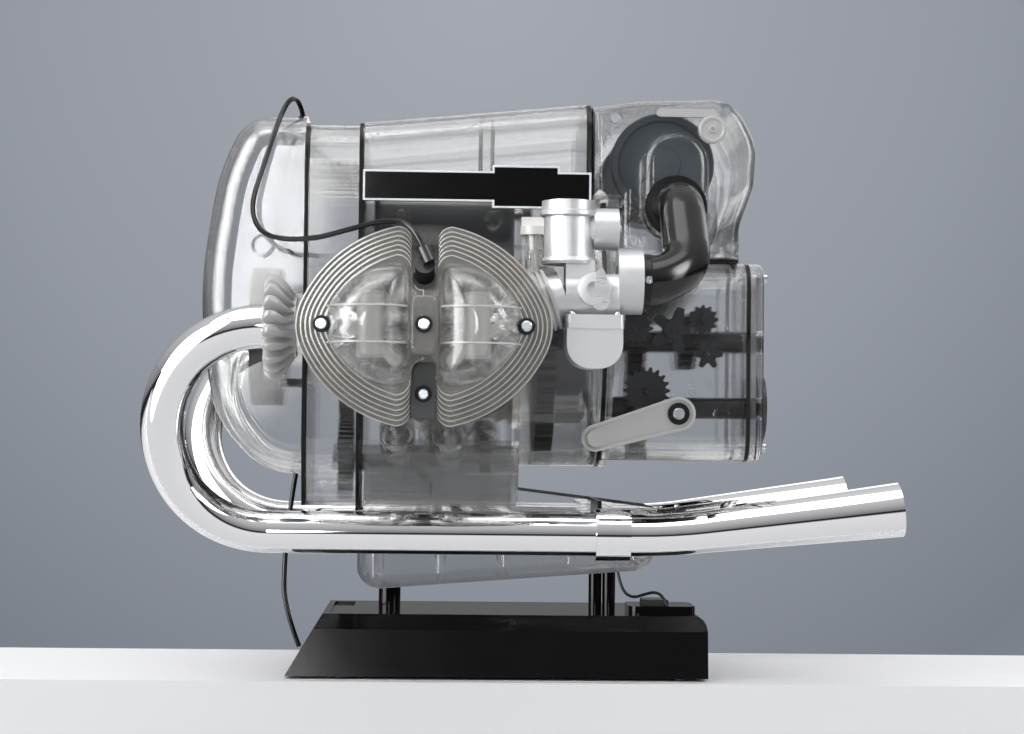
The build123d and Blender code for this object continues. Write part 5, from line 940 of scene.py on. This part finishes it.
carb_height, cap_x, bowl_x, lid_x, clamp_x, stub_x = 200.0, 17.9, 30.5, 30.0, 56.9, 42.4
lid_out, lid_screw_seat, clamp_out = 12.2, 0.2, 13.4
bowl_z, lid_z, hose_z, stub_z = (carb_height + up for up in (-10.6, 2.0, 7.0, 33.0))
bowl_screw_x, bowl_screw_y, lid_screw_z, collar_z = 11.2, 10.8, 7.0, 252.0
silver_parts, steel_parts, black_parts = [], [], []
for shift, side in ((0.0, -1), (right_shift, 1)):
    middle_y = side * nut_middle_y
    lid_y, clamp_y = middle_y + side * lid_out, middle_y + side * clamp_out
    on_cap = facing_up(cap_x + shift, middle_y, carb_height)
    silver_parts += [
        turned(
            [(38.6, 12.0), (38.6, 13.4), (39.4, 14.6), (41.2, 14.6), (42.0, 13.4), (42.0, 12.0)],
            on_cap,
        ),
        turned([(46.2, 3.0), (46.2, 10.6), (46.8, 11.4), (47.1, 11.0), (47.1, 3.2)], on_cap),
        turned([(15.0, 11.0), (15.0, 13.6), (16.6, 14.2), (18.2, 13.6), (18.2, 11.0)], on_cap),
        turned(
            [(0.0, 4.0), (0.0, 7.6), (1.6, 8.6), (2.2, 8.2), (2.8, 6.0), (2.8, 4.0)],
            facing_side(lid_x + shift, lid_y, lid_z, side),
        ),
    ]
    for along in (-bowl_screw_x, bowl_screw_x):
        for across in (-bowl_screw_y, bowl_screw_y):
            corner = facing_up(bowl_x + shift + along, middle_y + across, bowl_z)
            steel_parts.append(screw_head(corner, 1.7, 1.5))
    for up in (-lid_screw_z, lid_screw_z):
        on_lid = facing_side(lid_x + shift, lid_y + side * lid_screw_seat, lid_z + up, side)
        behind_cap = facing_rear(stub_x + shift, middle_y + up, stub_z)
        steel_parts += [screw_head(on_lid, 1.8, 1.6), screw_head(behind_cap, 1.5, 1.3)]
    black_parts.append(
        turned(
            [(54.8, 12.1), (54.8, 13.4), (55.4, 13.8), (58.4, 13.8), (59.0, 13.4), (59.0, 12.1)],
            facing_rear(shift, middle_y, hose_z),
        )
    )
    on_clamp = facing_side(clamp_x + shift, clamp_y, hose_z, side)
    steel_parts.append(screw_head(on_clamp, 1.9, 1.8))
collar_profile = [
    (57.2, 12.1), (57.2, 16.6), (58.8, 16.6), (59.4, 14.0), (61.6, 14.0),
    (62.0, 15.4), (63.8, 15.4), (64.2, 13.2), (66.4, 13.0), (66.4, 12.1),
]
for side, collar_x in ((-1, 79.0), (1, 96.0)):
    black_parts.append(turned(collar_profile, facing_side(collar_x, 0.0, collar_z, side)))
mesh_piece("carburettor_trim", *together(silver_parts), "silver", "silver")
mesh_piece("carburettor_screws", *together(steel_parts), "screw_steel", "steel")
mesh_piece("hose_collars", *together(black_parts), "rubber_black", "rubber_black")

# Smoked tray below the starter, open at its top, and its feet

tray_outline = [
    (-31.0, 254.0), (-31.0, 232.0), (-27.0, 228.0), (27.0, 228.0), (31.0, 232.0), (31.0, 254.0),
    (29.0, 254.0), (29.0, 232.8), (26.2, 230.0), (-26.2, 230.0), (-29.0, 232.8), (-29.0, 254.0),
]
tray_rings = [[(x, y, z) for y, z in tray_outline] for x in (-87.0, -86.0, -7.0, -6.0)]
mesh_piece("starter_tray", *solid_rings(tray_rings), "dark_smoke", "smoked")
foot_profile = [(30.6, 1.5), (30.6, 5.2), (34.5, 4.6), (40.0, 4.2), (41.0, 3.0), (41.0, 1.5)]
feet = [turned(foot_profile, facing_side(x, 0.0, 246.0)) for x in (-68.0, -18.0)]
mesh_piece("tray_feet", *together(feet), "cover_rib", "clear")

# Smoked liner in the lower case, each side with a bent rib

liner_outline = [(-85.0, 91.0), (-4.0, 91.0), (-4.0, 119.0), (-85.0, 119.0)]
rib_line = [(-84.0, 112.0), (-62.0, 112.0), (-50.0, 103.0), (-50.0, 92.0)]
liner_inside, liner_outside, rib_outside, half_rib = 37.0, 38.6, 40.6, 0.7
lower_walls = []
for side in (-1, 1):
    levels = [
        [(x, side * depth, z) for x, z in drawn_in(liner_outline, inset)]
        for depth, inset in ((liner_inside, 0.0), (liner_outside, 0.0), (liner_outside + 0.4, 0.4))
    ]
    lower_walls.append(solid_rings(levels))
    for (from_x, from_z), (to_x, to_z) in zip(rib_line, rib_line[1:]):
        length = hypot(to_x - from_x, to_z - from_z)
        aside_x = -(to_z - from_z) / length * half_rib
        aside_z = (to_x - from_x) / length * half_rib
        rib_outline = [
            (from_x - aside_x, from_z - aside_z), (to_x - aside_x, to_z - aside_z),
            (to_x + aside_x, to_z + aside_z), (from_x + aside_x, from_z + aside_z),
        ]
        levels = [
            [(x, side * depth, z) for x, z in rib_outline] for depth in (liner_outside, rib_outside)
        ]
        lower_walls.append(solid_rings(levels))
mesh_piece("lower_liner", *together(lower_walls), "liner_smoke", "smoked")


# Wheels of the gear selector

def toothed_wheel(placed, radius, teeth, tooth, bore, thickness):
    """A wheel with rounded teeth around a bore."""
    rim, hole = [], []
    for turn in turns(teeth * 8):
        reach = radius + tooth * max(-1.0, min(1.0, 1.8 * cos(teeth * turn)))
        rim.append((reach * cos(turn), reach * sin(turn)))
        hole.append((bore * cos(turn), bore * sin(turn)))
    rings = [
        [placed(level, across, up) for across, up in edge]
        for level, edge in ((0.0, hole), (0.0, rim), (thickness, rim), (thickness, hole))
    ]
    return looped_rings(rings)


wheel_bore, wheel_thickness, spindle_end = 2.0, 2.6, 43.4
wheel_parts = []
for x, z, radius, teeth, tooth, depth in (
    (80.5, 187.0, 9.6, 5, 3.2, 36.0),
    (80.5, 187.0, 5.6, 16, 0.5, 39.4),
    (60.0, 187.5, 8.2, 14, 1.0, 37.4),
    (66.0, 154.0, 11.6, 18, 1.1, 37.0),
    (99.0, 174.0, 6.4, 6, 1.6, 37.8),
    (97.0, 193.0, 7.4, 12, 0.7, 31.0),
):
    placed = facing_side(x, -depth, z)
    reach = spindle_end - depth
    spindle = [(wheel_thickness, 0.4), (wheel_thickness, wheel_bore)]
    spindle += [(reach, wheel_bore), (reach, 0.4)]
    wheel_parts += [
        toothed_wheel(placed, radius, teeth, tooth, wheel_bore, wheel_thickness),
        turned(spindle, placed, 24),
    ]
selector = mesh_piece("selector_wheels", *together(wheel_parts), "gear_dark", "dark_grey")
selector_edge = selector.modifiers.new("edges", "BEVEL")
selector_edge.width = 0.0003
selector_edge.segments = 2


# Valve springs, each along its valve's lift axis

spring_radius, wire_radius, spring_turns, spring_steps = 6.0, 0.65, 5.0, 180
flat_end = 0.12  # share of the wire that lies flat at each end


def coil(middle_of_start, along, length):
    """A closed-end coil from its start, along its axis."""
    up = Vector((0.0, 0.0, 1.0))
    aside = along.cross(up)
    rings = []
    for step in range(spring_steps + 1):
        share = step / spring_steps
        rise = min(1.0, max(0.0, (share - flat_end) / (1 - 2 * flat_end)))
        turn = tau * spring_turns * share
        outward = up * cos(turn) + aside * sin(turn)
        middle = middle_of_start + along * length * rise + outward * spring_radius
        ring = []
        for angle in turns(8):
            offset = outward * cos(angle) + along * sin(angle)
            ring.append(tuple(middle + offset * wire_radius))
        rings.append(ring)
    return solid_rings(rings)


spring_points = [corner.co * 1000 for corner in frame["nodes"]["valve_springs"].data.vertices]
joint_named = {joint["name"]: joint for joint in frame["joints"]}
for side_name, side, middle_x in (("left", -1, left_middle_x), ("right", 1, right_middle_x)):
    for valve_name, way in (("exhaust", -1), ("inlet", 1)):
        lift = f"{side_name}_{valve_name}_valve_lift"
        along = Vector(joint_named[lift]["axis"]).normalized()
        points = [p for p in spring_points if p.y * side > 0 and (p.x - middle_x) * way > 0]
        low, high = (Vector([pick(p[i] for p in points) for i in range(3)]) for pick in (min, max))
        centre = (low + high) / 2
        reaches = [(point - centre).dot(along) for point in points]
        start, end = min(reaches) + wire_radius, max(reaches) - wire_radius
        spring = mesh_piece(
            f"{side_name}_{valve_name}_spring",
            *coil(centre + along * start, along, end - start),
            "steel",
            "steel",
            sharp=60.0,
        )
        length = (end - start) / 1000
        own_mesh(spring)
        if lift.startswith("left_exhaust"):
            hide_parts("valve_springs")


# Shelf, lamps and surroundings

left, right, front, back, low = -3.0, 3.0, -0.075, 0.092, -1.0
corners = [(x, y, z) for z in (low, 0.0) for y in (front, back) for x in (left, right)]
sides = [(0, 1, 3, 2), (4, 6, 7, 5), (0, 4, 5, 1), (2, 3, 7, 6), (0, 2, 6, 4), (1, 5, 7, 3)]
shelf_mesh = bpy.data.meshes.new("shelf")
shelf_mesh.from_pydata(corners, [], sides)
shelf = bpy.data.objects.new("shelf", shelf_mesh)
scene.collection.objects.link(shelf)
shelf_shader = new_look("shelf_paint")[1]
feed(shelf_shader, "Base Color", (0.8, 0.8, 0.81))
feed(shelf_shader, "Roughness", 0.6)
shelf_mesh.materials.append(looks["shelf_paint"])

light_target = Vector((0.0, 0.0, 0.16))
for name, place, size, power in (
    ("top_light", (-0.2, -0.3, 1.5), (1.6, 1.0), 11.0),
    ("left_light", (-1.5, -1.0, 0.8), (0.7, 1.4), 11.0),
    ("right_light", (1.5, -1.1, 0.6), (0.6, 1.2), 7.0),
    ("back_light", (0.5, 1.4, 0.9), (1.6, 0.8), 4.0),
):
    light = bpy.data.lights.new(name, "AREA")
    light.shape = "RECTANGLE"
    light.size, light.size_y = size
    light.energy = power
    lamp = bpy.data.objects.new(name, light)
    scene.collection.objects.link(lamp)
    lamp.location = place
    lamp.rotation_euler = (light_target - Vector(place)).to_track_quat("-Z", "Y").to_euler()

world = bpy.data.worlds.new("world")
scene.world = world
world.use_nodes = True
tree = world.node_tree
tree.nodes.clear()
output = added(tree, "OutputWorld")
direction = added(tree, "TexCoord").outputs["Generated"]
axes = added(tree, "SeparateXYZ")
feed(axes, "Vector", direction)


def colour_ramp(value, stops):
    """A ramp of colours whose first and last stops are at its ends."""
    ramp = added(tree, "ValToRGB")
    elements = ramp.color_ramp.elements
    elements[0].color = (*stops[0][1], 1)
    elements[1].color = (*stops[-1][1], 1)
    for position, colour in stops[1:-1]:
        elements.new(position).color = (*colour, 1)
    feed(ramp, "Fac", value)
    return ramp.outputs["Color"]


def distance_from(vector, place):
    away = added(tree, "VectorMath")
    away.operation = "DISTANCE"
    away.inputs[1].default_value = place
    feed(away, 0, vector)
    return away.outputs["Value"]


def background(colour):
    shown = added(tree, "Background")
    feed(shown, "Color", colour)
    return shown


# Plain soft light
soft = background((0.8, 0.81, 0.83))
feed(soft, "Strength", 0.75)
# Studio that gloss reflects: pale floor, dark horizon, grey walls and four soft boxes, each with
# its middle, the distances where it begins and ends to fade, and its level
studio_stops = (
    (0.0, (0.72, 0.72, 0.73)),
    (0.42, (0.8, 0.8, 0.816)),
    (0.455, (0.03, 0.03, 0.0306)),
    (0.505, (0.015, 0.015, 0.0153)),
    (0.54, (0.22, 0.22, 0.2244)),
    (0.7, (0.42, 0.42, 0.4284)),
    (1.0, (0.7, 0.7, 0.71)),
)
glow = colour_ramp(spread(tree, axes.outputs["Z"], 0.0, 1.0, -1.0, 1.0), studio_stops)
flattened = added(tree, "VectorMath")
flattened.operation = "MULTIPLY"
flattened.inputs[1].default_value = (1.0, 1.0, 0.5)
feed(flattened, 0, direction)
for centre, near, far, level in (
    ((-0.8, -0.52, 0.14), 0.3, 0.44, 13.0),
    ((0.72, -0.5, 0.25), 0.16, 0.26, 9.0),
    ((-0.25, -0.5, 0.42), 0.14, 0.24, 5.0),
    ((-0.092, -0.99, 0.046), 0.03, 0.052, 20.0),
):
    reach = distance_from(flattened.outputs["Vector"], centre)
    glow = mixed_colour(tree, 1.0, glow, spread(tree, reach, level, 0.0, near, far), "ADD")
studio = background(glow)
# Grey backdrop that the camera sees, lightest above the object
wall_middle, wall_reach = (0.02, 0.98, 0.2), 0.9
wall_stops = (
    (0.0, (0.385, 0.4, 0.445)),
    (0.24, (0.295, 0.318, 0.362)),
    (0.4, (0.195, 0.215, 0.25)),
    (0.6, (0.29, 0.31, 0.35)),
    (1.0, (0.36, 0.375, 0.41)),
)
from_middle = spread(tree, distance_from(direction, wall_middle), 0.0, 1.0, 0.0, wall_reach)
wall = background(colour_ramp(from_middle, wall_stops))
path = added(tree, "LightPath")
seen = added(tree, "Math")
seen.operation = "MAXIMUM"
feed(seen, 0, path.outputs["Is Camera Ray"])
feed(seen, 1, path.outputs["Is Transmission Ray"])
behind = soft.outputs["Background"]
for share, shown in ((path.outputs["Is Glossy Ray"], studio), (seen.outputs["Value"], wall)):
    mixer = added(tree, "MixShader")
    feed(mixer, "Fac", share)
    feed(mixer, 1, behind)
    feed(mixer, 2, shown.outputs["Background"])
    behind = mixer.outputs["Shader"]
feed(output, "Surface", behind)
